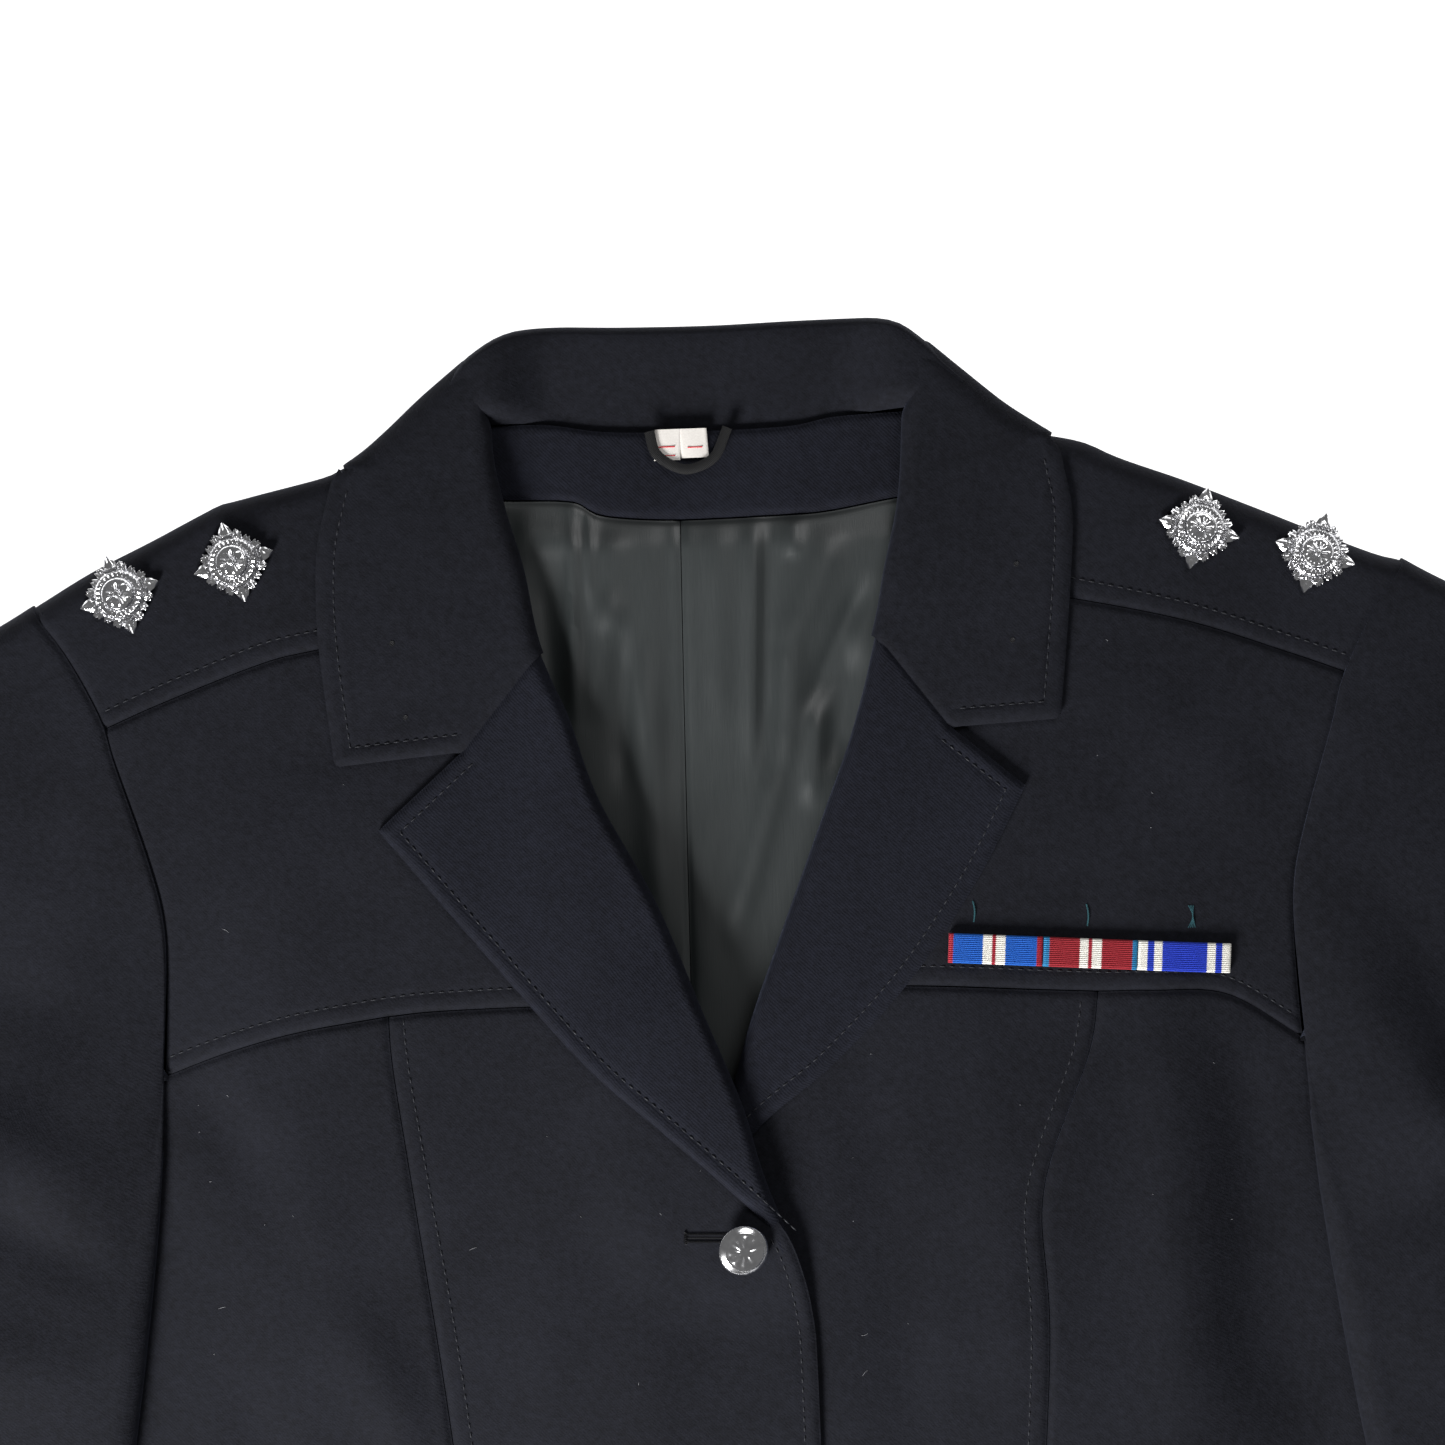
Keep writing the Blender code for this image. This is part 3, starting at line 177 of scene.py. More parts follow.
# The back panel rises over the collar fall, which is folded under the neck
NECK_EASE = 0.5
FALL_UNDER_NECK = DOUBLE_WOOL + LAID_GAP + NECK_EASE
NECK_RISE_FROM_Y = -20.0
NECK_RISE_TO_Y = 78.0
NECK_RISE_HALF = 128.0
FALL_LOWER_Y = 84.0
print("folds on the fronts:", len(FRONT_FOLDS) + len(FRONT_CREASES))

# %% [markdown]
# The seams of a tunic are curves, not straight lines: the princess seam takes in the waist, and the armhole
# swings round the shoulder. Each curve has only the points that a cutter would notch, and a smooth curve runs
# through them later. The right and left halves are not mirror images here, because the cloth lies unevenly.

# %% Seams and edges of the pattern
SIDE_SEAM = [Place(285, -170), Place(272, -230), Place(258, -320), Place(276, -430), Place(310, HEM_Y)]
LOWER_ARMHOLE = [Place(194, -114), Place(212, -138), Place(244, -160), Place(285, -170)]
FRONT_ARMHOLE = [
    Place(194, -114), Place(192, -80), Place(192.5, -60), Place(197, -40),
    Place(207, -7), Place(211, 8), Place(222, 30), Place(234.5, 47.6),
]
INNER_FOLD = [Place(194, -114), Place(197, -158), Place(208, -237), Place(226, -340), Place(256, CUFF_Y)]
OUTER_FOLD = [
    Place(235, 48.4), Place(246, 42), Place(285, 20.5), Place(322, -14), Place(352, -62), Place(376, -120),
    Place(392, -180), Place(402, -250), Place(408, -330), Place(412, CUFF_Y),
]
HALVES = {
    "right": {
        "sign": -1,
        "leaf_start": 85.0,
        "roll": [
            Place(75, 123), Place(76.6, 95), Place(73, 74), Place(67, 52), Place(62, 26), Place(52.7, 5.6),
            Place(43, -24), Place(25, -59), Place(9.5, -98.5), Place(-2.2, -129), Place(-8.4, -152),
            Place(-17.6, -177.5),
        ],
        "gorge": [Place(62.5, 24.4), Place(88, -6.4)],
        "leaf_edge": [
            Place(126, 92), Place(128, 87), Place(131, 78), Place(134.6, 61), Place(135, 33), Place(131, -10),
        ],
        "peak": Place(117.5, -32.6),
        "lapel_edge": [
            Place(117.5, -32.6), Place(85, -73), Place(53, -111), Place(27, -135), Place(1, -159),
            Place(-15.4, -175.6),
        ],
        "shoulder": [
            Place(89, 101), Place(121, 94.4), Place(131, 90), Place(142, 87), Place(162.4, 82.2),
            Place(173, 79.4), Place(194, 68.9), Place(214.7, 59), Place(234.5, 47.6),
        ],
        "yoke_seam": [
            Place(66, 38), Place(100, 35), Place(139, 29), Place(157, 25), Place(191, 13), Place(211, 5),
        ],
        "chest_seam": [
            Place(11, -95), Place(50, -94), Place(97, -94.4), Place(116.6, -95.7), Place(147, -100),
            Place(171, -106), Place(194, -114),
        ],
        "princess": [
            Place(116.6, -95.7), Place(115.6, -114), Place(110, -158), Place(100, -240), Place(92, -330),
            Place(104, -450), Place(122, HEM_Y),
        ],
        "front_edge": [
            Place(-20.8, -187), Place(-23.5, -201), Place(-24.6, -222), Place(-25, -330), Place(-25, -450),
            Place(-22, HEM_Y),
        ],
        "neckline": [
            Place(50, 137.6), Place(57.7, 137.5), Place(64.5, 137), Place(71.4, 135.2), Place(78.4, 131),
            Place(89, 122.8), Place(99.6, 114.2), Place(110.2, 104.6), Place(119, 97.2), Place(126, 92.2),
        ],
    },
    "left": {
        "sign": 1,
        "leaf_start": 75.5,
        "roll": [
            Place(67.5, 123), Place(66, 99), Place(63.5, 72), Place(57.6, 47), Place(53.6, 29), Place(44, -4),
            Place(33.6, -31), Place(17, -73), Place(5.5, -103), Place(-4, -135), Place(-17, -175),
        ],
        "gorge": [Place(56.8, 23.3), Place(76.8, -3.7)],
        "leaf_edge": [
            Place(115.5, 94), Place(116.4, 88.6), Place(118, 81), Place(120, 66), Place(118, 38),
            Place(113.6, -1.9),
        ],
        "peak": Place(101.6, -24.8),
        "lapel_edge": [
            Place(101.6, -24.8), Place(84, -56.5), Place(60.6, -89), Place(33, -117), Place(5, -140),
            Place(-14, -173),
        ],
        "shoulder": [
            Place(79, 102), Place(104, 96.5), Place(119, 94), Place(129.4, 91.1), Place(139.5, 86),
            Place(160, 78.1), Place(190, 65.4), Place(220.6, 52.4), Place(234.5, 47.6),
        ],
        "yoke_seam": [
            Place(58, 47), Place(90, 43), Place(120, 38), Place(159, 29), Place(193.5, 17), Place(212, 10),
        ],
        "chest_seam": [
            Place(10, -90), Place(61, -91.5), Place(101, -94), Place(124, -95.4), Place(142, -95.7),
            Place(168, -98), Place(194, -114),
        ],
        "princess": [
            Place(124, -95.4), Place(120, -116.5), Place(103, -162), Place(103.5, -213), Place(98, -330),
            Place(108, -450), Place(124, HEM_Y),
        ],
        "front_edge": [Place(-18, -200), Place(-18, -330), Place(-18, -450), Place(-16, HEM_Y)],
        "neckline": [
            Place(45.3, 137.4), Place(52.1, 137.1), Place(59, 136.5), Place(65.8, 134.6), Place(72.4, 129.6),
            Place(85.7, 118.1), Place(99.1, 106.6), Place(109.1, 99.5), Place(115.5, 95),
        ],
    },
}
NECK_SEAM = [
    Place(-77, 104.2), Place(-59.5, 104.2), Place(-37.5, 101), Place(-12, 100.1), Place(25, 100.7),
    Place(43.6, 103.6), Place(66, 105.2),
]
FACING_TOP_ENDS = (Place(-88, 103), Place(80, 104.5))
FACING_EDGE = [
    Place(-92, 81.4), Place(-73.2, 78.8), Place(-49.2, 77.5), Place(-38.4, 72.4), Place(-12.8, 70.1),
    Place(23.7, 70.6), Place(38.4, 71.4), Place(58.2, 74.6), Place(84, 78.6),
]
LINING_SEAM = [Place(-12, 69), Place(-13, 0), Place(-14, -100), Place(-14, -170)]
LINING_BOTTOM_Y = -170.0
LINING_BOTTOM_HALF = 62.0
LINING_TOP_HALF = 84.0
STAND_TOP = [
    Place(-91, 114), Place(-83.4, 122.6), Place(-76.2, 128), Place(-70, 131.4), Place(-63.6, 133.1),
    Place(-52, 133.7), Place(-30, 132.9), Place(0, 132.5), Place(28, 133.1), Place(50, 133.3),
    Place(58.6, 132.7), Place(64.2, 130.8), Place(69.8, 126.6), Place(77, 120.4), Place(85.5, 112.8),
]
BREAK_Y = -178.0
CORNER_ROUND = 11.0

# The stand rises to its roll, and past MEET_START from its middle it runs up to the leaves and under them
STAND_RIGHT_END = [Place(-84, 106.5), Place(-89.5, 110)]
STAND_LEFT_END = [Place(74, 106.4), Place(81.5, 109)]
STAND_MIDDLE = -5.0
STAND_LOW_Y = 98.0
STAND_TOP_Y = 136.5
STAND_ROLL_RISE = 4.4
STAND_RIM = 3.8
MEET_START = 50.0
MEET_END = 71.0
MEET_HIDDEN = 86.0
MEET_LOW_Y = 100.0
MEET_TOP_Y = 111.0
MEET_LIFT = 0.35
MEET_DEPTH = 1.3
print("curves of each half:", sorted(HALVES["right"]))

# %% [markdown]
# A shell could be drawn by sculpting, but a tailored piece has four clear edges, so a Coons patch fits: it
# blends the four edge curves into one smooth grid. Rows are packed closely beside a seam, where the cloth
# rolls in, and stand a few millimetres apart elsewhere.


# %% Curves and patches
def smoothstep(start, end, value):
    """0 before start, 1 after end, and an even S between."""
    share = np.clip((value - start) / (end - start), 0.0, 1.0)
    return share * share * (3.0 - 2.0 * share)


def length_of(points):
    """How long a polyline is."""
    return float(np.linalg.norm(np.diff(points, axis=0), axis=1).sum())


def carried(values, path, shares):
    """Values that go with the points of a path, at shares of the path's length."""
    steps = np.linalg.norm(np.diff(path, axis=0), axis=1)
    travelled = np.concatenate([[0.0], np.cumsum(steps)])
    wanted = np.asarray(shares) * travelled[-1]
    return np.column_stack([np.interp(wanted, travelled, column) for column in np.transpose(values)])


def at_shares(points, shares):
    """Points of a polyline at shares of its length."""
    return carried(points, points, shares)


def until_line(curve, start, end):
    """A curve up to where it crosses the line through two places, ending exactly there."""
    ahead = np.subtract(end, start)
    beside = (curve[:, 0] - start[0]) * ahead[1] - (curve[:, 1] - start[1]) * ahead[0]
    first = int(np.nonzero(beside[:-1] * beside[1:] <= 0)[0][0])
    share = beside[first] / (beside[first] - beside[first + 1])
    return np.vstack([curve[: first + 1], curve[first] + (curve[first + 1] - curve[first]) * share])


def spaced(points, count):
    """Points at even steps along a polyline."""
    return at_shares(points, np.linspace(0, 1, count))


def smooth_curve(places, count=240):
    """A smooth curve through the places, as evenly spaced points."""
    known = np.array([(place[0], place[1]) for place in places], float)
    padded = np.vstack([2 * known[0] - known[1], known, 2 * known[-1] - known[-2]])
    fine = []
    for index in range(1, len(padded) - 2):
        before, start, end, after = padded[index - 1: index + 3]
        for share in np.linspace(0, 1, 12, endpoint=False):
            fine.append(
                0.5 * (
                    2 * start + (end - before) * share
                    + (2 * before - 5 * start + 4 * end - after) * share**2
                    + (3 * start - before - 3 * end + after) * share**3
                )
            )
    fine.append(known[-1])
    return spaced(fine, count)


def joined(*curves):
    """Curves that follow each other, with each shared point once."""
    return np.vstack([curves[0]] + [curve[1:] for curve in curves[1:]])


def side_of(points):
    """Unit vectors to the right of a plan polyline, at each of its points."""
    along = np.gradient(points, axis=0)
    along = along / np.linalg.norm(along, axis=1)[:, None]
    return np.column_stack([along[:, 1], -along[:, 0]])


def cut_above(points, y):
    """The part of a falling curve from the height y down, starting exactly there."""
    share = np.interp(-y, -points[:, 1], np.arange(len(points)))
    first = int(math.ceil(share + 1e-6))
    start = points[first - 1] + (points[first] - points[first - 1]) * (share - first + 1)
    return np.vstack([start, points[first:]])


def pinned(curve, start, end):
    """A curve moved so that it starts and ends at given points, with the shift fading along it."""
    share = np.linspace(0, 1, len(curve))[:, None]
    return curve + (start - curve[0]) * (1 - share) ** 3 + (end - curve[-1]) * share**3


def stations(length, step, near_start=(), near_end=()):
    """Shares along an edge: even steps, with extra ones at given distances from its ends."""
    first = max(near_start, default=0.0) + step * 0.6
    last = length - max(near_end, default=0.0) - step * 0.6
    even = np.linspace(first, last, max(3, int(round((last - first) / step)) + 1))
    places = np.concatenate([[0.0], near_start, even, length - np.array(near_end, float), [length]])
    return np.unique(np.round(places, 4)) / length


def patch(left, right, bottom, top, across, up):
    """Plan points between four edges: rows run from bottom to top, columns from left to right."""
    bottom = pinned(bottom, left[0], right[0])
    top = pinned(top, left[-1], right[-1])
    left, right = at_shares(left, up), at_shares(right, up)
    bottom, top = at_shares(bottom, across), at_shares(top, across)
    across = across[None, :, None]
    up = up[:, None, None]
    sides = (1 - across) * left[:, None, :] + across * right[:, None, :]
    ends = (1 - up) * bottom[None, :, :] + up * top[None, :, :]
    corners = (
        (1 - across) * (1 - up) * bottom[0] + across * (1 - up) * bottom[-1]
        + (1 - across) * up * top[0] + across * up * top[-1]
    )
    return sides + ends - corners


demo = smooth_curve(FRONT_ARMHOLE)
print(f"front armhole seam: {length_of(demo):.0f} mm over {len(demo)} points")

# %% [markdown]
# Every panel lies on a height function of its plan place, the same one as its solid, so that the shells keep
# the gaps between the layers. The creases are added here too. A crease fades in and out along its length,
# because cloth that lies on a table has no fold of even depth.


# %% Heights of the layers
def fold_relief(folds, x, y):
    """Height that a table of soft ridges and troughs adds at a place."""
    total = np.zeros(np.broadcast(x, y).shape)
    for fold in folds:
        along_x = fold.x1 - fold.x0
        along_y = fold.y1 - fold.y0
        length = math.hypot(along_x, along_y)
        share = ((x - fold.x0) * along_x + (y - fold.y0) * along_y) / length**2
        aside = ((x - fold.x0) * along_y - (y - fold.y0) * along_x) / length
        ends = smoothstep(-0.15, 0.25, share) * (1.0 - smoothstep(0.75, 1.15, share))
        total = total + fold.height * ends * np.exp(-((aside / fold.width) ** 2))
    return total


def plain_front(x, y):
    """Outer face of the left front in the solids, without the finer creases."""
    ys = [level.y for level in FRONT_LEVELS]
    middle = np.interp(y, ys, [level.middle for level in FRONT_LEVELS])
    side = np.interp(y, ys, [level.side for level in FRONT_LEVELS])
    share = smoothstep(SIDE_STARTS, SIDE_REACHED, np.abs(x))
    return middle + (side - middle) * share + fold_relief(FRONT_FOLDS, x, y)


def left_front_face(x, y):
    """Outer face of the left front, and of every front piece away from the lap."""
    return plain_front(x, y) + fold_relief(FRONT_CREASES, x, y)


def right_front_face(x, y):
    """Outer face of the right front, raised where it laps over the left one."""
    lap = smoothstep(LAP_GONE_X, LAP_FULL_X, x)
    crossing = 1.0 - smoothstep(CROSSING_NEAR, CROSSING_FAR, np.hypot(x, y - CROSSING_Y))
    return left_front_face(x, y) + lap * (LAP_LIFT + CROSSING_LIFT * crossing)


def back_face(x, y):
    """Upper face of the back panel, which rises over the collar fall."""
    aside = 1.0 - smoothstep(NECK_RISE_HALF, SIDE_REACHED, np.abs(x))
    return WOOL + FALL_UNDER_NECK * smoothstep(NECK_RISE_FROM_Y, NECK_RISE_TO_Y, y) * aside


def lining_face(x, y):
    """Upper face of the lining on the back panel."""
    relief = LINING_EASE * smoothstep(72.0, 60.0, y) + fold_relief(LINING_FOLDS, x, y)
    return back_face(x, y) + INSIDE_GAP + LINING + np.maximum(relief, 0.0)


def facing_face(x, y):
    """Upper face of the back neck facing."""
    return back_face(x, y) + INSIDE_GAP + WOOL


FRONT_FACES = {"right": right_front_face, "left": left_front_face}
print(f"front face at the middle of the chest: {float(left_front_face(0.0, 0.0)):.1f} mm up")

# %% [markdown]
# A shader is a sum of small maths: a nap is noise, a twill is a wave, and wear is a mask. Written with nodes
# one by one it is hard to read, so one small class wraps a socket and lets Python operators add the Math
# nodes. Any other node comes from the one method `node`.


# %% A socket that does arithmetic
class Link:
    """One output socket of a material; an operator on it adds a Math node."""

    def __init__(self, tree, socket):
        self.tree = tree
        self.socket = socket

    def node(self, kind, settings=None, output=0, **sockets):
        """A new node of the tree: its settings are set first, then its sockets by name or number."""
        made = self.tree.nodes.new(kind)
        for name, value in (settings or {}).items():
            if name == "stops":
                ramp = made.color_ramp
                while len(ramp.elements) < len(value):
                    ramp.elements.new(0.5)
                for element, (place, tone) in zip(ramp.elements, value):
                    element.position = place
                    element.color = tone
            else:
                setattr(made, name, value)
        for name, value in sockets.items():
            key = int(name[1:]) if name[0] == "s" and name[1:].isdigit() else name.replace("_", " ")
            target = made.inputs[key]
            if isinstance(value, Link):
                self.tree.links.new(value.socket, target)
            else:
                target.default_value = value
        return Link(self.tree, made.outputs[output])

    def maths(self, operation, first, second=0.0):
        return self.node("ShaderNodeMath", {"operation": operation}, s0=first, s1=second)

    def __add__(self, other):
        return self.maths("ADD", self, other)

    def __sub__(self, other):
        return self.maths("SUBTRACT", self, other)

    def __rsub__(self, other):
        return self.maths("SUBTRACT", other, self)

    def __mul__(self, other):
        return self.maths("MULTIPLY", self, other)

    def clamped(self):
        return self.maths("MINIMUM", self.maths("MAXIMUM", self, 0.0), 1.0)

    __radd__ = __add__
    __rmul__ = __mul__


def new_finish(name, **constants):
    """A material with its constants set; gives it, its Principled shader and its object coordinates."""
    made = bpy.data.materials.new(name)
    made.use_nodes = True
    shader = made.node_tree.nodes["Principled BSDF"]
    for socket, value in constants.items():
        shader.inputs[socket.replace("_", " ")].default_value = value
    start = Link(made.node_tree, None)
    place = start.node("ShaderNodeTexCoord", output=3)
    return made, shader, place


def blend(tone_a, tone_b, factor):
    """Two colours mixed by a factor."""
    return factor.node(
        "ShaderNodeMix", {"data_type": "RGBA"}, output=2,
        s0=factor, s6=(*tone_a, 1.0), s7=(*tone_b, 1.0),
    )


def connect(shader, **links):
    """Joins links to sockets of the shader."""
    for name, link in links.items():
        link.tree.links.new(link.socket, shader.inputs[name.replace("_", " ")])


def noise(place, scale, detail=2.0, rough=0.5):
    return place.node("ShaderNodeTexNoise", Vector=place, Scale=scale, Detail=detail, Roughness=rough)


def bumped(height, distance, strength=1.0):
    return height.node("ShaderNodeBump", Height=height, Distance=distance, Strength=strength)


print("socket arithmetic ready")

# %% [markdown]
# The wool is a fulled twill in blue-black. From a step away it is matte, with a bluish bloom where the nap
# catches the light. Close by there are short fibres lying every way, faint diagonal twill, and a few pale
# lint specks. Roughness and colour follow the nap, and the bump carries both nap and twill.


# %% Wool, lining and the other cloths
def stretched(place, size):
    """Coordinates scaled differently along each axis."""
    return place.node("ShaderNodeVectorMath", {"operation": "MULTIPLY"}, s0=place, s1=size)


def wool_finish(name, twill, tone, bloom):
    """Napped wool; twill is how far the diagonal weave shows through the nap."""
    made, shader, place = new_finish(
        name, Sheen_Weight=0.055, Sheen_Roughness=0.40, Sheen_Tint=(0.45, 0.52, 0.80, 1.0),
        Specular_IOR_Level=0.14,
    )
    nap = noise(place, 1300.0, 4.0, 0.7)
    felt = noise(place, 420.0, 3.0, 0.6)
    cloud = noise(place, 26.0, 3.0, 0.55)
    ribs = place.node(
        "ShaderNodeTexWave", {"wave_type": "BANDS", "bands_direction": "DIAGONAL"}, output=1,
        Vector=place, Scale=480.0, Distortion=1.6, Detail=2.0,
    )
    lift = nap * 0.30 + felt * 0.45 + cloud * 0.25
    colour = blend(tone, bloom, ((lift - 0.38) * 3.6).clamped())
    connect(
        shader, Base_Color=colour, Roughness=0.80 + felt * 0.18,
        Normal=bumped(nap * 0.5 + felt * 0.5 + ribs * twill, 0.00045, 0.75),
    )
    return made


def satin_finish():
    """Acetate satin: smooth, dark green-grey, with a fine warp direction."""
    made, shader, place = new_finish("lining_satin", Sheen_Weight=0.05, Specular_IOR_Level=0.62)
    warp = noise(stretched(place, (3200.0, 120.0, 900.0)), 1.0, 2.0)
    cloud = noise(place, 18.0, 3.0)
    colour = blend((0.0105, 0.0135, 0.0140), (0.0225, 0.0275, 0.0280), (cloud * 0.7 + warp * 0.3).clamped())
    connect(
        shader, Base_Color=colour, Roughness=0.36 + warp * 0.12 + cloud * 0.08,
        Normal=bumped(warp, 0.00008, 0.5),
    )
    return made


def thread_finish(name, tone, sheen=0.02):
    """Twisted sewing thread."""
    made, shader, place = new_finish(name, Sheen_Weight=sheen, Specular_IOR_Level=0.25)
    twist = place.node(
        "ShaderNodeTexWave", {"bands_direction": "DIAGONAL"}, output=1,
        Vector=place, Scale=900.0, Distortion=1.0,
    )
    connect(
        shader, Base_Color=blend(tone, [part * 1.9 for part in tone], twist), Roughness=0.55 + twist * 0.2,
        Normal=bumped(twist, 0.0001, 0.6),
    )
    return made


WOOL_FINISH = wool_finish("wool_napped", 0.05, (0.0036, 0.0038, 0.0058), (0.0105, 0.0112, 0.0160))
FACING_FINISH = wool_finish("wool_facing_twill", 0.16, (0.0036, 0.0039, 0.0068), (0.0100, 0.0110, 0.0175))
SATIN_FINISH = satin_finish()
BLACK_THREAD = thread_finish("thread_black", (0.0045, 0.0045, 0.0055))
TEAL_THREAD = thread_finish("thread_teal", (0.014, 0.050, 0.060))
STITCH_THREAD = thread_finish("thread_navy", (0.0110, 0.0115, 0.0145))
RED_THREAD = thread_finish("thread_red", (0.42, 0.020, 0.030))
TAPE_FINISH = thread_finish("tape_black", (0.0024, 0.0024, 0.0028))
LINT_FINISH = thread_finish("lint_pale", (0.16, 0.16, 0.17), 0.15)


def metal_finish():
    """Chrome plate on struck metal: bright, dulled a little in soft random clouds."""
    made, shader, place = new_finish("chrome_plate", Metallic=1.0, Specular_IOR_Level=0.6)
    cloud = noise(place, 380.0, 3.0)
    grain = noise(place, 2600.0, 2.0)
    connect(
        shader, Base_Color=blend((0.60, 0.60, 0.62), (0.90, 0.90, 0.92), cloud),
        Roughness=0.10 + cloud * 0.14, Normal=bumped(grain, 0.00003, 0.4),
    )
    return made


CHROME_FINISH = metal_finish()
print("finishes ready for cloth, thread and metal:", sum(made.use_nodes for made in bpy.data.materials))

# %% [markdown]
# A shell is a grid of points with the cloth's thickness below it. The wall is closed here in code, because a
# closed mesh prints and bakes without stray faces. The cut size of each sheet is measured along the cloth:
# the longest row and the longest column give the rectangle it was cut from, and the faces give its area.


# %% A shell from a grid
def finish_piece(piece, finish, nodes):
    """Gives a new object its finish, its body and the solids that it stands for."""
    piece.data.materials.append(finish)
    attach(piece, "root")
    if nodes:
        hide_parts(*nodes)
    return piece


def mesh_piece(name, vertices, faces, finish, nodes=(), sharp=50):
    """One smooth object from points in millimetres of the plan, with its faces turned out."""
    body = bmesh.new()
    made = [body.verts.new((x * MM, (y + GARMENT_Y) * MM, z * MM)) for x, y, z in vertices]
    for face in faces:
        body.faces.new([made[index] for index in face])
    bmesh.ops.recalc_face_normals(body, faces=body.faces)
    mesh = bpy.data.meshes.new(name)
    body.to_mesh(mesh)
    body.free()
    mesh.shade_smooth()
    mesh.set_sharp_from_angle(angle=math.radians(sharp))
    piece = bpy.data.objects.new(name, mesh)
    bpy.context.scene.collection.objects.link(piece)
    return finish_piece(piece, finish, nodes)


def wall_faces(rows, columns):
    """Faces of a closed wall whose outer grid comes first and whose inner grid follows."""
    count = rows * columns
    faces = []
    for row in range(rows - 1):
        for column in range(columns - 1):
            first = row * columns + column
            quad = [first, first + 1, first + columns + 1, first + columns]
            faces.append(quad)
            faces.append([index + count for index in reversed(quad)])
    border = list(range(columns))
    border += [row * columns + columns - 1 for row in range(1, rows)]
    border += [(rows - 1) * columns + column for column in range(columns - 2, -1, -1)]
    border += [row * columns for row in range(rows - 2, 0, -1)]
    for start, end in zip(border, border[1:] + border[:1]):
        faces.append([end, start, start + count, end + count])
    return faces


def flat_area(points):
    """Area of a grid of points, in the units of its points."""
    across = np.diff(points, axis=1)
    down = np.diff(points, axis=0)
    first = np.linalg.norm(np.cross(across[:-1], down[:, :-1]), axis=-1)
    second = np.linalg.norm(np.cross(across[1:], down[:, 1:]), axis=-1)
    return float((first + second).sum() / 2)


def shell(name, points, normals, thickness, finish, nodes, sharp=50):
    """A sheet of cloth on its grid; prints the size that it was cut to."""
    inner = points - normals * thickness
    vertices = np.concatenate([points.reshape(-1, 3), inner.reshape(-1, 3)])
    piece = mesh_piece(name, vertices, wall_faces(*points.shape[:2]), finish, nodes, sharp)
    width = max(length_of(row) for row in points)
    length = max(length_of(column) for column in points.transpose(1, 0, 2))
    area = min(flat_area(points), width * length)
    print(f"{name}: cut from {width:.0f} by {length:.0f} mm, {area / 100:.0f} cm2")


def wool_shell(name, points, normals, nodes, thickness=WOOL, finish=WOOL_FINISH):
    shell(name, points, normals, thickness, finish, nodes)


def on_face(plan, face, sign=1):
    """Points and unit normals of a plan patch laid on a height function."""
    x = plan[..., 0] * sign
    y = plan[..., 1]
    step = 0.5
    slope_x = (face(x + step, y) - face(x - step, y)) / (2 * step)
    slope_y = (face(x, y + step) - face(x, y - step)) / (2 * step)
    normals = np.stack([-slope_x, -slope_y, np.ones_like(slope_x)], axis=-1)
    normals = normals / np.linalg.norm(normals, axis=-1)[..., None]
    return np.stack([x, y, face(x, y)], axis=-1), normals


RIM_STEPS = 8
LEAST_DROP = 0.8


def rim_rows(points, normals, outward, depth, low):
    """Rows of a rounded edge that go on from the last row, outward and down to the height low."""
    edge = points[-1]
    direction = np.column_stack([outward, np.zeros(len(outward))])
    low = np.minimum(low, edge[:, 2] - LEAST_DROP)
    drop = edge[:, 2] - low
    for angle in np.linspace(0, math.pi / 2, RIM_STEPS + 1)[1:]:
        row = edge + direction * depth * math.sin(angle)
        row[:, 2] = low + drop * math.cos(angle)
        lean = direction * (math.sin(angle) / depth)
        lean[:, 2] = math.cos(angle) / drop
        lean = lean / np.linalg.norm(lean, axis=1)[:, None]
        points = np.concatenate([points, row[None]])
        normals = np.concatenate([normals, lean[None]])
    return points, normals


def turned(points, normals):
    """The same grid with rows and columns exchanged."""
    return points.transpose(1, 0, 2), normals.transpose(1, 0, 2)


def grid_normals(points):
    """Unit normals of a grid, from the steps between its points."""
    down = np.gradient(points, axis=0)
    across = np.gradient(points, axis=1)
    normals = np.cross(across, down)
    return normals / np.linalg.norm(normals, axis=-1)[..., None]


print("shell maker ready")

# %% [markdown]
# Where two pieces are sewn, both edges roll down into the seam. Top-stitching then runs beside the seam and
# pulls the cloth down into a shallow furrow. Both are part of the grid's heights: a narrow dip at the edge
# and a furrow at the stitch's distance. The stitches themselves are laid along the furrow later, so each
# stitched line is kept as a path of points.

# %% Seams and furrows
SEAM_STATIONS = (0.35, 0.8, 1.4, 2.2, 3.4)
TOP_STITCH = 6.4
EDGE_STITCH = 5.4
STITCH_STATIONS = SEAM_STATIONS + (4.6, 5.6, TOP_STITCH, 7.2, 8.6)
EDGE_STATIONS = (0.3, 0.8, 1.6, 2.8, 4.0, 4.8, EDGE_STITCH, 6.0, 7.2)
PANEL_STEP = 4.0
stitch_paths = []


def seam_dip(distance, depth=0.85, width=1.3):
    return depth * np.exp(-((distance / width) ** 2))


def furrow(distance, centre, depth=0.32, width=0.9):
    return depth * np.exp(-(((distance - centre) / width) ** 2))


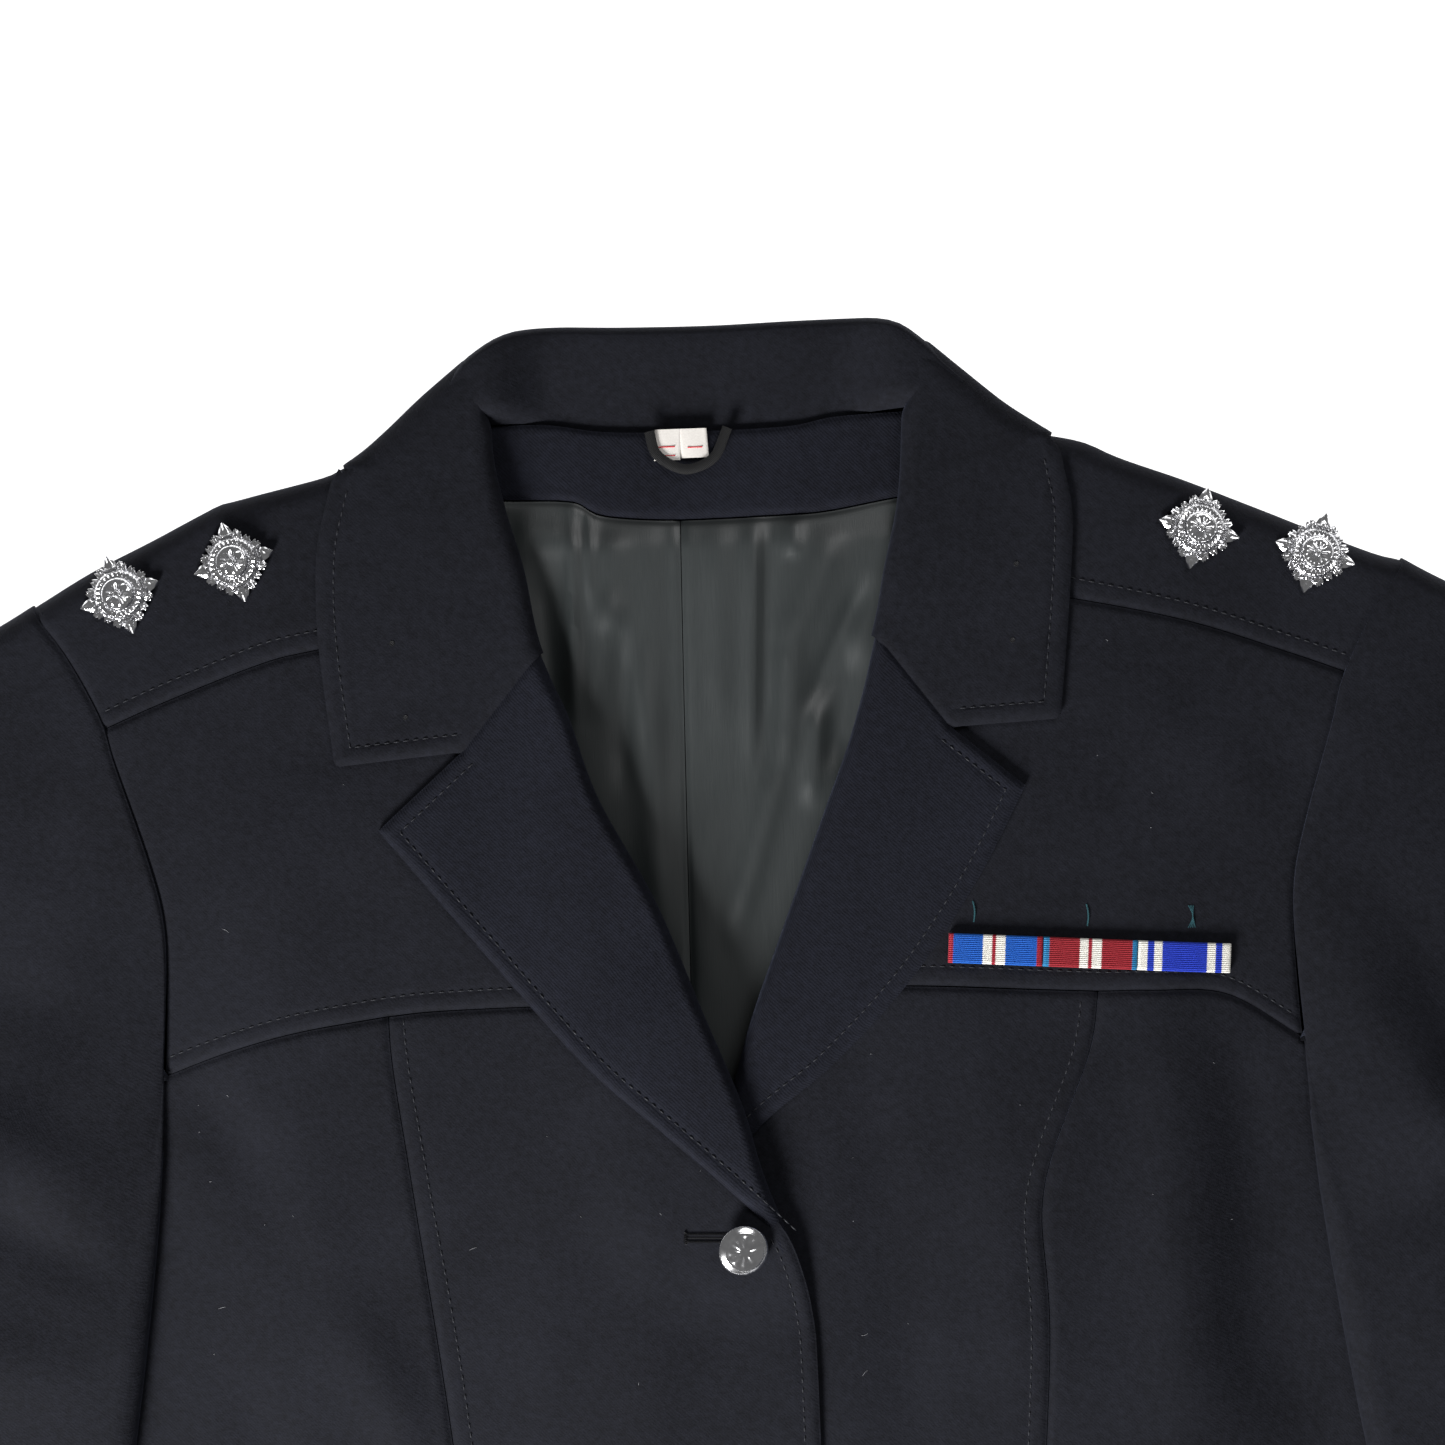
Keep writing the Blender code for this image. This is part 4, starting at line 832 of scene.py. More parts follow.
def roll_at_seams(points, across, up, seams, stitched):
    """Lowers a grid at its sewn edges; seams and stitched name edges as left, right, bottom or top."""
    width = length_of(points[len(points) // 2])
    height = length_of(points[:, points.shape[1] // 2])
    distances = {
        "left": across[None, :] * width, "right": (1 - across)[None, :] * width,
        "bottom": up[:, None] * height, "top": (1 - up)[:, None] * height,
    }
    drop = np.zeros(points.shape[:2])
    for name in seams:
        drop = drop + seam_dip(distances[name])
    for name in stitched:
        drop = drop + furrow(distances[name], TOP_STITCH) * (drop < 0.4)
    points = points.copy()
    points[..., 2] -= drop
    return points


def keep_stitch_line(points, across, up, edge):
    """Remembers the grid line that runs beside a seam, for the top-stitching."""
    width = length_of(points[len(points) // 2])
    height = length_of(points[:, points.shape[1] // 2])
    if edge == "right":
        path = points[:, int(np.abs(across - (1 - TOP_STITCH / width)).argmin())]
    else:
        path = points[int(np.abs(up - TOP_STITCH / height).argmin())]
    stitch_paths.append(spaced(path, len(path)))


EDGE_KINDS = {"seam": SEAM_STATIONS, "stitched": STITCH_STATIONS, "edge": EDGE_STATIONS, "": ()}


def panel_shares(left, bottom, left_kind, right_kind, bottom_kind, top_kind, step=PANEL_STEP):
    """Column and row shares of a panel, packed near its edges that are sewn, stitched or free."""
    across = stations(length_of(bottom), step, EDGE_KINDS[left_kind], EDGE_KINDS[right_kind])
    up = stations(length_of(left), step, EDGE_KINDS[bottom_kind], EDGE_KINDS[top_kind])
    return across, up


print("stations beside a stitched seam:", STITCH_STATIONS)

# %% [markdown]
# The front of the tunic has a shoulder yoke, a chest panel, a centre front and a side front on each half.
# The seam allowances of the yoke and the chest are pressed up and stitched down, so their top-stitching runs
# above the seam. The princess seam is stitched on the side of the centre front.


# %% Edges shared by the front panels
SHOULDER_TIP_AHEAD = np.array([0.58, 0.81])
SHOULDER_TIP_SHARE = 0.93


def roll_points(half, count=240):
    """The finely stepped roll line of one half, from the neck down to its break."""
    return smooth_curve(half["roll"], count)


def turned_at_tip(outward):
    """Directions out of an edge that ends at the shoulder tip, where every piece looks the same way."""
    at_tip = smoothstep(SHOULDER_TIP_SHARE, 1.0, np.linspace(0, 1, len(outward)))[:, None]
    return outward * (1 - at_tip) + SHOULDER_TIP_AHEAD * at_tip


def turned_level(outward, ahead, count):
    """Directions out of an edge, the first ones turned to look straight ahead at the hem or cuff."""
    level = np.linspace(1, 0, count)[:, None]
    start = outward[:count] * (1 - level) + np.array(ahead) * level
    return np.vstack([start, outward[count:]])


def neck_edge(half, top_y, bottom_y, count=120):
    """The hidden neck edge of the front pieces, set back from the roll line, from bottom to top."""
    rolled = roll_points(half, 120)
    inset = rolled - PANEL_ROLL_INSET * side_of(rolled)
    falling = cut_above(inset, top_y)
    rising = cut_above(falling[::-1] * [1, -1], -bottom_y) * [1, -1]
    return spaced(rising, count)


def chest_split(half):
    """The chest seam from the front edge to the princess seam, and on to the armhole."""
    seam = half["chest_seam"]
    split = [place.out for place in seam].index(half["princess"][0].out)
    return smooth_curve(seam[: split + 1]), smooth_curve(seam[split:])


def armhole_between(bottom_y, top_y):
    """The front armhole seam between two heights, from bottom to top."""
    seam = smooth_curve(FRONT_ARMHOLE)
    ys = np.linspace(bottom_y, top_y, 120)
    return np.column_stack([np.interp(ys, seam[:, 1], seam[:, 0]), ys])


def yoke_seam_points(half):
    """The yoke seam, from the hidden neck edge to the armhole."""
    seam = half["yoke_seam"]
    start = neck_edge(half, seam[0].y, half["chest_seam"][0].y, 2)[-1]
    return smooth_curve([Place(*start)] + seam[1:])


def centre_edge(half, top_y):
    """The front edge of the centre panel, from the hem up along the lap and the roll line."""
    rolled = roll_points(half, 120)
    shown = smoothstep(BREAK_Y + 2.0, BREAK_Y + 34.0, rolled[:, 1])[:, None]
    inset = rolled - PANEL_ROLL_INSET * side_of(rolled) * shown
    falling = cut_above(inset, top_y)[::8]
    straight = np.array([(place.out, place.y) for place in half["front_edge"]], float)
    return smooth_curve(np.vstack([falling, straight]))[::-1]


# %% Yokes and chest panels
def build_yoke(side, half):
    """The shoulder yoke, from the yoke seam over the shoulder to the back."""
    sign = half["sign"]
    seam = yoke_seam_points(half) + [0, SEAM_GAP / 2]
    shoulder = smooth_curve(half["shoulder"])
    outward = turned_at_tip(-side_of(shoulder))
    top = shoulder - outward * SIDE_RIM
    inner = neck_edge(half, top[0, 1], seam[0, 1])
    outer = armhole_between(seam[-1, 1], top[-1, 1]) - [SEAM_GAP / 2, 0]
    outer = pinned(outer, outer[0], top[-1])
    across, up = panel_shares(inner, seam, "", "seam", "stitched", "", 3.5)
    plan = patch(inner, outer, seam, top, across, up)
    points, normals = on_face(plan, left_front_face, sign)
    points = roll_at_seams(points, across, up, ["right", "bottom"], ["bottom"])
    keep_stitch_line(points, across, up, "bottom")
    rim = at_shares(shoulder, across)
    low = back_face(rim[:, 0], rim[:, 1]) + SEAM_GAP
    outward = at_shares(outward, across) * [sign, 1]
    points, normals = rim_rows(points, normals, outward, SIDE_RIM, low)
    wool_shell(f"yoke_{side}", points, normals, [f"front_yoke_{side}"])


def build_chest(side, half):
    """The chest panel between the yoke seam and the chest seam."""
    bottom = joined(*chest_split(half)) + [0, SEAM_GAP / 2]
    top = yoke_seam_points(half) - [0, SEAM_GAP / 2]
    left = neck_edge(half, top[0, 1], bottom[0, 1])
    right = armhole_between(bottom[-1, 1], top[-1, 1]) - [SEAM_GAP / 2, 0]
    across, up = panel_shares(left, bottom, "", "seam", "stitched", "seam")
    points, normals = on_face(patch(left, right, bottom, top, across, up), FRONT_FACES[side], half["sign"])
    points = roll_at_seams(points, across, up, ["right", "bottom", "top"], ["bottom"])
    keep_stitch_line(points, across, up, "bottom")
    wool_shell(f"chest_panel_{side}", points, normals, [f"chest_{side}"])


for side, half in HALVES.items():
    build_yoke(side, half)
    build_chest(side, half)


# %% Centre and side fronts
FREE_EDGE_TOP_Y = -170.0
HEM_POINTS = 40
PRINCESS_FADE = 3
STITCH_SINK = 0.30
EDGE_FURROW = (0.38, 1.1)


def nearest(points, path):
    """Distance in plan from each point of a grid to the nearest point of a path."""
    flat = points.reshape(-1, points.shape[-1])[:, :2]
    gaps = np.linalg.norm(flat[:, None, :] - np.asarray(path)[None, :, :2], axis=-1).min(axis=1)
    return gaps.reshape(points.shape[:-1])


def stitch_on(path, face, sign, lift=0.0):
    """Remembers a stitched line that is known in plan, at the height of its face and a lift above it."""
    x = path[:, 0] * sign
    stitch_paths.append(np.column_stack([x, path[:, 1], face(x, path[:, 1]) + lift - STITCH_SINK]))


def turned_edge(points, outline, stitch, sign):
    """Rounds a turned edge and presses the furrow of its stitching into a grid."""
    scale = np.array([sign, 1])
    points = points.copy()
    points[..., 2] -= seam_dip(nearest(points, outline * scale), 1.0, 1.2)
    points[..., 2] -= furrow(nearest(points, stitch * scale), 0.0, *EDGE_FURROW)
    return points


def princess_edge(half, shift):
    """The princess seam from hem to chest, moved aside by half its gap and down to the chest seam's edge."""
    edge = smooth_curve(half["princess"])[::-1] + [shift, 0]
    return edge - [0, SEAM_GAP / 2] * np.linspace(0, 1, len(edge))[:, None] ** PRINCESS_FADE


def build_centre_front(side, half):
    """The centre front below the chest seam, from the princess seam to the front edge."""
    top = chest_split(half)[0] - [0, SEAM_GAP / 2]
    left = centre_edge(half, top[0, 1])
    right = princess_edge(half, -SEAM_GAP / 2)
    bottom = spaced([left[0], right[0]], 200)
    across, up = panel_shares(left, bottom, "edge", "stitched", "edge", "seam")
    points, normals = on_face(patch(left, right, bottom, top, across, up), FRONT_FACES[side], half["sign"])
    points = roll_at_seams(points, across, up, ["right", "top"], ["right"])
    keep_stitch_line(points, across, up, "right")
    free_edge = left[left[:, 1] < FREE_EDGE_TOP_Y]
    stitch = free_edge + side_of(free_edge) * EDGE_STITCH
    points = turned_edge(points, free_edge, stitch, half["sign"])
    if side == "right":
        stitch_on(stitch, FRONT_FACES[side], half["sign"])
    wool_shell(f"front_{side}", points, normals, [f"centre_front_{side}"])


def build_side_front(side, half):
    """The side front, from the princess seam round to the side seam on the floor."""
    sign = half["sign"]
    seam = chest_split(half)[1] - [0, SEAM_GAP / 2]
    silhouette = smooth_curve(SIDE_SEAM)[::-1]
    outward = turned_level(side_of(silhouette), [1.0, 0.0], HEM_POINTS)
    right = silhouette - outward * SIDE_RIM
    armhole = smooth_curve(LOWER_ARMHOLE[:-1] + [Place(*right[-1])])
    top = joined(seam, armhole)
    left = princess_edge(half, SEAM_GAP / 2)
    bottom = spaced([left[0], right[0]], 200)
    across, up = panel_shares(left, bottom, "seam", "", "edge", "seam")
    points, normals = on_face(patch(left, right, bottom, top, across, up), FRONT_FACES[side], sign)
    points = roll_at_seams(points, across, up, ["left", "top"], [])
    points, normals = turned(points, normals)
    edge = at_shares(silhouette, up)
    low = back_face(edge[:, 0], edge[:, 1]) + SEAM_GAP
    points, normals = rim_rows(points, normals, carried(outward, right, up) * [sign, 1], SIDE_RIM, low)
    wool_shell(f"side_panel_{side}", points, normals, [f"side_front_{side}"])


for side, half in HALVES.items():
    build_centre_front(side, half)
    build_side_front(side, half)


# %% [markdown]
# A lapel is the front and its facing turned back together, so it is a thicker, springier layer with a soft
# roll instead of a crease. Its notch is where the collar leaf ends and the gorge seam begins.


# %% Lapels
GORGE_STRETCH = 1.38
LAPEL_STEP = 1.9
GORGE_DIP = (0.9, 1.1)


def inset_path(outline, distance):
    """A path inside an outline, to its right, at one distance from all of it."""
    outline = spaced(outline, 500)
    path = outline + side_of(outline) * distance
    gaps = np.linalg.norm(path[:, None] - outline[None], axis=-1).min(axis=1)
    return path[gaps > distance - 0.06]


def build_lapel(side, half):
    """A lapel turned back on the front: roll line, notch, peak and outer edge."""
    sign = half["sign"]
    front = FRONT_FACES[side]

    def face(x, y):
        return front(x, y) + (LAID_GAP + DOUBLE_WOOL) * smoothstep(BREAK_Y, BREAK_Y + 22.0, y)

    roll = roll_points(half)[::-1]
    left = spaced(until_line(roll + side_of(roll) * ROLL_RIM, *half["gorge"]), 240)
    at_gorge = smoothstep(14.0, 1.0, length_of(left) * np.linspace(1, 0, len(left)))[:, None]
    gorge_ahead = np.subtract(*half["gorge"]) / np.linalg.norm(np.subtract(*half["gorge"]))
    toward_neck = -side_of(left) * (1 - at_gorge) + gorge_ahead * at_gorge * GORGE_STRETCH
    right = smooth_curve(half["lapel_edge"])[::-1]
    gorge = spaced([left[-1], half["gorge"][1]], 100) - [0, SEAM_GAP / 2]
    notch = spaced([gorge[-1], half["peak"]], 100)
    top = joined(gorge, notch)
    bottom = spaced([left[0], right[0]], 200)
    across = stations(length_of(top), LAPEL_STEP, (), EDGE_STATIONS)
    up = stations(length_of(right), LAPEL_STEP, (), EDGE_STATIONS)
    points, normals = on_face(patch(left, right, bottom, top, across, up), face, sign)
    outline = joined(notch, right[::-1])
    stitch = inset_path(outline, EDGE_STITCH)
    points = turned_edge(points, outline, stitch, sign)
    points[..., 2] -= seam_dip(nearest(points, gorge * [sign, 1]), *GORGE_DIP)
    stitch_on(stitch, face, sign)
    points, normals = turned(points[:, ::-1], normals[:, ::-1])
    edge = at_shares(left, up)
    low = front(edge[:, 0] * sign, edge[:, 1]) - WOOL - SEAM_GAP
    outward = carried(toward_neck, left, up) * [sign, 1]
    points, normals = rim_rows(points, normals, outward, ROLL_RIM, low)
    wool_shell(
        f"lapel_shell_{side}", points, normals, [f"lapel_{side}"],
        DOUBLE_WOOL, FACING_FINISH,
    )


for side, half in HALVES.items():
    build_lapel(side, half)


# %% [markdown]
# The fall of the collar is one strip: a leaf on each shoulder, and between them the stretch that is folded
# under the back neck. It is built as one grid from leaf point to leaf point, so that the cloth runs unbroken
# round the silhouette.


# %% Collar fall
LEAF_DOWN = 122.0
LEAF_ACROSS = 58.0
WRAP_ROWS = 14
UNDER_NECK_ROWS = 26
THIN_ROLL = 0.8
THIN_FROM_Y = 98.0
THIN_TO_Y = 110.0


def stand_face(x, y):
    """Upper face of the stand, from the neck seam up to its roll."""
    rise = smoothstep(STAND_LOW_Y, STAND_TOP_Y, y)
    flat = FALL_UNDER_NECK + SEAM_GAP + WOOL + STAND_ROLL_RISE * rise
    out = np.abs(x - STAND_MIDDLE)
    leaf = np.where(x < 0, FRONT_FACES["right"](x, y), FRONT_FACES["left"](x, y)) + LAID_GAP + DOUBLE_WOOL
    lift = MEET_LIFT - (MEET_LIFT + MEET_DEPTH) * smoothstep(MEET_END, MEET_HIDDEN, out)
    meets = smoothstep(MEET_START, MEET_END, out) * smoothstep(MEET_LOW_Y, MEET_TOP_Y, y)
    return flat * (1 - meets) + (leaf + lift) * meets


def first_row(half):
    """Where a leaf starts to wrap round the silhouette: its plan points, directions out and reach."""
    outline = smooth_curve(half["neckline"], 300)
    outline = outline[outline[:, 0] >= half["leaf_start"]]
    outward = -side_of(outline)
    left_over = length_of(outline) * np.linspace(1, 0, len(outline))
    reach = COLLAR_WRAP * (0.15 + 0.85 * smoothstep(0.0, CORNER_ROUND, left_over))
    reach = reach - 1.4 * smoothstep(12.0, 2.0, length_of(outline) - left_over)
    return outline - outward * (reach + DOUBLE_WOOL)[:, None], outward, reach


def leaf_plan(half, row_shares, column_shares):
    """Plan of a collar leaf: rows from the shoulder wrap to the points, columns from the roll outward."""
    top, outward, reach = first_row(half)
    roll = roll_points(half)
    inset = cut_above(roll - side_of(roll) * ROLL_RIM, top[0, 1] - 3.0)
    inner = spaced(np.vstack([top[0], until_line(inset, *half["gorge"])]), 240)
    outer = smooth_curve([Place(*top[-1])] + half["leaf_edge"][1:])
    notch = np.array(half["gorge"][1], float) + [0.0, SEAM_GAP / 2]
    gorge = spaced([inner[-1], notch], 100)
    lower = joined(gorge, spaced([notch, outer[-1]], 100))
    plan = patch(top, lower, inner, outer, row_shares, column_shares).transpose(1, 0, 2)
    wraps = carried(np.column_stack([outward, reach]), top, column_shares)
    return plan, wraps, joined(outer, spaced([outer[-1], notch], 200)), gorge


def rolled_over(grid, levels, depth, steps=9):
    """The grid with a rounded roll added past its last column, to each row's level and depth."""
    edge = grid[:, -1]
    toward = edge - grid[:, -2]
    toward[:, 2] = 0.0
    toward = toward / np.linalg.norm(toward, axis=1)[:, None]
    columns = [grid]
    for angle in np.linspace(0, math.pi / 2, steps + 1)[1:]:
        column = edge + toward * (depth * math.sin(angle))[:, None]
        column[:, 2] = levels + (edge[:, 2] - levels) * math.cos(angle)
        columns.append(column[:, None])
    return np.concatenate(columns, axis=1)


def wrap_rows(first, around, sign):
    """Rows that lead round the silhouette, from underneath up to a leaf's first row."""
    middle = (first[:, 2] + DOUBLE_WOOL) / 2
    lift = (first[:, 2] - DOUBLE_WOOL) / 2
    rows = []
    for angle in np.linspace(-math.pi / 2, math.pi / 2, WRAP_ROWS + 1)[:-1]:
        row = first.copy()
        row[:, :2] += around[:, :2] * [sign, 1] * (around[:, 2] * math.cos(angle))[:, None]
        row[:, 2] = middle + lift * math.sin(angle)
        rows.append(row)
    return np.array(rows)


def leaf_strip(side, row_shares, column_shares):
    """A leaf after its wrap, with the level and the depth of each row's roll at the neck."""
    half = HALVES[side]
    sign = half["sign"]
    face = FRONT_FACES[side]
    plan, around, outline, gorge = leaf_plan(half, row_shares, column_shares)
    x = plan[..., 0] * sign
    y = plan[..., 1]
    leaf = np.stack([x, y, face(x, y) + LAID_GAP], axis=-1)
    stitch = inset_path(outline, EDGE_STITCH)
    stitch = stitch[stitch[:, 1] < outline[0, 1] - 6.0]
    leaf = turned_edge(leaf, outline, stitch, sign)
    leaf[..., 2] -= seam_dip(nearest(leaf, gorge * [sign, 1]), *GORGE_DIP)
    stitch_on(stitch, face, sign, LAID_GAP + DOUBLE_WOOL)
    wrap = wrap_rows(leaf[0], around, sign)
    thin = smoothstep(THIN_FROM_Y, THIN_TO_Y, y[:, 0])
    edge_level = face(x[:, 0], y[:, 0]) - WOOL - SEAM_GAP
    leaf_level = edge_level * (1 - thin) + (leaf[:, 0, 2] - 2.0) * thin
    leaf_depth = ROLL_RIM + (THIN_ROLL - ROLL_RIM) * thin
    wrap_level = np.maximum(wrap[:, 0, 2] - 1.5, DOUBLE_WOOL)
    levels = np.concatenate([wrap_level, leaf_level])
    depths = np.concatenate([np.full(WRAP_ROWS, THIN_ROLL), leaf_depth])
    return np.concatenate([wrap, leaf]), levels, depths


def rows_under_neck(start, end, column_shares):
    """Rows from one wrap to the other, folded flat under the back neck."""
    fold_y = STAND_TOP_Y - DOUBLE_WOOL
    flat = fold_y + (FALL_LOWER_Y - fold_y) * column_shares
    rows = []
    for share in np.linspace(0, 1, 2 * UNDER_NECK_ROWS + 1)[1:-1]:
        row = start * (1 - share) + end * share
        weight = smoothstep(0.0, 0.12, min(share, 1 - share))
        row[:, 1] = row[:, 1] * (1 - weight) + flat * weight
        rows.append(row)
    return np.array(rows)


def build_collar_fall():
    """The fall: a leaf on each shoulder, joined by the strip that is folded under the back neck."""
    row_shares = stations(LEAF_DOWN, 2.0, (), EDGE_STATIONS)
    column_shares = stations(LEAF_ACROSS, LAPEL_STEP, (), EDGE_STATIONS)
    right, right_levels, right_depths = leaf_strip("right", row_shares, column_shares)
    left, left_levels, left_depths = leaf_strip("left", row_shares, column_shares)
    under = rows_under_neck(right[0], left[0], column_shares)
    flat_rows = np.ones(len(under))
    strip = np.concatenate([right[::-1], under, left])
    levels = np.concatenate([right_levels[::-1], flat_rows * DOUBLE_WOOL, left_levels])
    depths = np.concatenate([right_depths[::-1], flat_rows, left_depths])
    inner = rolled_over(strip[:, ::-1], levels, depths)
    normals = grid_normals(inner)
    if normals[0, 0, 2] < 0:
        normals = -normals
    points = inner + normals * DOUBLE_WOOL
    wool_shell("collar_leaves", points, normals, ["collar_fall"], DOUBLE_WOOL)


build_collar_fall()


# %% [markdown]
# Inside the neck the stand rises from the neck seam to the roll, the wool facing lies under the seam, and the
# satin lining hangs from the facing's curved edge. The lining is eased in with small gathers, so its folds
# start at the facing and fade as they run down.


# %% Stand, facing and lining
def build_collar_stand():
    """The stand seen inside the back neck: from the neck seam up to its roll, and over it."""
    bottom = smooth_curve(NECK_SEAM)
    top = smooth_curve(STAND_TOP)
    left = smooth_curve([Place(*bottom[0])] + STAND_RIGHT_END + [Place(*top[0])])
    right = smooth_curve([Place(*bottom[-1])] + STAND_LEFT_END + [Place(*top[-1])])
    across, up = panel_shares(left, bottom, "", "", "seam", "", 2.5)
    points, normals = on_face(patch(left, right, bottom, top, across, up), stand_face)
    points = roll_at_seams(points, across, up, ["bottom"], [])
    low = np.full(len(across), DOUBLE_WOOL + SEAM_GAP)
    top_line = at_shares(top, across)
    outward = -side_of(top_line)
    hidden = smoothstep(MEET_HIDDEN - 8.0, MEET_HIDDEN - 1.0, np.abs(top_line[:, 0] - STAND_MIDDLE))
    depth = STAND_RIM * (1 - 0.5 * hidden)
    points, normals = rim_rows(points, normals, outward, depth[:, None], low)
    wool_shell("stand_inside", points, normals, ["collar_stand"])


def build_facing():
    """The wool facing under the back neck seam."""
    bottom = smooth_curve(FACING_EDGE)
    sewn = [Place(place.out, place.y - SEAM_GAP) for place in NECK_SEAM[1:-1]]
    top = smooth_curve([FACING_TOP_ENDS[0]] + sewn + [FACING_TOP_ENDS[1]])
    left = spaced([bottom[0], top[0]], 60)
    right = spaced([bottom[-1], top[-1]], 60)
    across, up = panel_shares(left, bottom, "", "", "seam", "seam", 3.0)
    points, normals = on_face(patch(left, right, bottom, top, across, up), facing_face)
    points = roll_at_seams(points, across, up, ["bottom", "top"], [])
    wool_shell("neck_facing", points, normals, ["back_neck_facing"], finish=FACING_FINISH)


def build_lining():
    """Both halves of the back lining, as far as the neck shows it."""
    seam = smooth_curve(LINING_SEAM)[::-1]
    edge = smooth_curve(FACING_EDGE) - [0, 2 * SEAM_GAP]
    for side, sign in (("right", -1), ("left", 1)):
        start_x = seam[-1, 0] + sign * SEAM_GAP / 2
        xs = np.linspace(start_x, sign * LINING_TOP_HALF, 200)
        top = np.column_stack([xs, np.interp(xs, edge[:, 0], edge[:, 1])])
        inner = pinned(seam + [sign * SEAM_GAP / 2, 0], seam[0] + [sign * SEAM_GAP / 2, 0], top[0])
        outer = spaced([(sign * LINING_BOTTOM_HALF, LINING_BOTTOM_Y), top[-1]], 200)
        bottom = spaced([inner[0], outer[0]], 200)
        across, up = panel_shares(inner, top, "seam", "", "", "seam", 1.8)
        points, normals = on_face(patch(inner, outer, bottom, top, across, up), lining_face)
        points = roll_at_seams(points, across, up, ["left", "top"], [])
        shell(
            f"lining_{side}", points, normals, LINING, SATIN_FINISH, [f"back_lining_{side}"],
        )


build_collar_stand()
build_facing()
build_lining()


# %% [markdown]
# A two-piece sleeve has a top sleeve that folds round at both edges and an under sleeve beneath it. It lies a
# little inflated, because the lining and the cloth's own spring hold it open.


# %% Sleeves and back
SLEEVE_TUCK = 0.5
CUFF_POINTS = 30
ARMPIT_RIM = 0.4
ARMPIT_SHARE = 3 / 16
SLEEVE_HOLLOW = 7.0
SLEEVE_DOME = 4.0
SLEEVE_LEAST_HOLLOW = 5.0
CREST_PROUD = 2.0
CREST_SHARE = 0.22


def under_sleeve_low(x, y):
    """Underside of the sleeve's lower cloth: on the body's side, then down to the floor outside it."""
    out = np.abs(x)
    edge_points = smooth_curve(SIDE_SEAM, 40)[::-1]
    edge = np.interp(y, edge_points[:, 1], edge_points[:, 0])
    on_body = plain_front(x, y) + SLEEVE_GAP
    floor_share = smoothstep(edge + 1.0, edge + 19.0, out)
    above = smoothstep(-164.0, -140.0, y) * smoothstep(246.0, 285.0, out + (y + 164.0) * 0.6)
    return on_body * (1 - floor_share) * (1 - above)


def sleeve_height(x, y, across, up, seam_height):
    """Upper face of the top sleeve: proud of the armhole seam, then rounded over the hollow inside."""
    proud = np.linspace(CREST_PROUD, 0.1, len(across))
    under = under_sleeve_low(x, y) + WOOL
    down = (1 - up)[:, None]
    hollow = SLEEVE_HOLLOW + SLEEVE_DOME * np.sin(math.pi * across[None, :]) * (1 - 0.3 * down)
    free = under + hollow + fold_relief(SLEEVE_FOLDS, np.abs(x), y)
    reached = smoothstep(0.0, CREST_SHARE, down)
    resting = np.maximum(free, under + SLEEVE_LEAST_HOLLOW)
    return (seam_height + proud)[None, :] * (1 - reached) + resting * reached


def fold_rim(points, normals, edge, outward, depth, up, sign):
    """The sleeve's rounded fold past its last row, down onto the under sleeve."""
    fold = at_shares(edge, up)
    low = under_sleeve_low(fold[:, 0] * sign, fold[:, 1]) + WOOL + SEAM_GAP
    return rim_rows(points, normals, carried(outward, edge, up) * [sign, 1], depth, low)


def build_top_sleeve(side, half):
    """The top sleeve: from the armhole seam, between the two folds, down to the cuff."""
    sign = half["sign"]
    inner_edge = smooth_curve(INNER_FOLD)[::-1]
    outer_edge = smooth_curve(OUTER_FOLD)[::-1]
    inner_out = turned_level(-side_of(inner_edge), [-1.0, 0.0], CUFF_POINTS)
    outer_out = turned_level(turned_at_tip(side_of(outer_edge)), [1.0, 0.0], CUFF_POINTS)
    rim_share = smoothstep(0, ARMPIT_SHARE, np.linspace(1, 0, len(inner_edge)))[:, None]
    inner_depth = SIDE_RIM * rim_share + ARMPIT_RIM * (1 - rim_share)
    left = inner_edge - inner_out * inner_depth
    right = outer_edge - outer_out * SIDE_RIM
    top = armhole_between(FRONT_ARMHOLE[0].y, right[-1, 1]) - [SLEEVE_TUCK, 0]
    top = pinned(top, left[-1], right[-1])
    bottom = spaced([left[0], right[0]], 200)
    across = stations(length_of(bottom), PANEL_STEP)
    up = stations(length_of(right), 4.5, (), SEAM_STATIONS)
    plan = patch(left, right, bottom, top, across, up)
    x = plan[..., 0] * sign
    y = plan[..., 1]
    armhole = at_shares(top, across)
    seam_height = left_front_face(armhole[:, 0] * sign, armhole[:, 1])
    points = np.stack([x, y, sleeve_height(x, y, across, up, seam_height)], axis=-1)
    normals = grid_normals(points)
    normals = np.where(normals[..., 2:] < 0, -normals, normals)
    points = roll_at_seams(points, across, up, ["top"], [])
    points, normals = turned(points, normals)
    points, normals = fold_rim(points, normals, outer_edge, outer_out, SIDE_RIM, up, sign)
    depth = carried(inner_depth, inner_edge, up)
    points, normals = fold_rim(points[::-1], normals[::-1], inner_edge, inner_out, depth, up, sign)
    wool_shell(f"sleeve_{side}", points, normals, [f"sleeve_top_{side}"])


def shell_of_node(name, node, flat):
    """A hidden sheet that takes its solid's own mesh, for cloth that only lies underneath."""
    piece = bpy.data.objects.new(name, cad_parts[node].data.copy())
    piece.data.materials.clear()
    bpy.context.scene.collection.objects.link(piece)
    finish_piece(piece, WOOL_FINISH, [node])
    area = sum(face.area for face in piece.data.polygons) / 2
    area = min(area, flat[0] * flat[1])
    print(f"{name}: {area * 1e4:.0f} cm2")


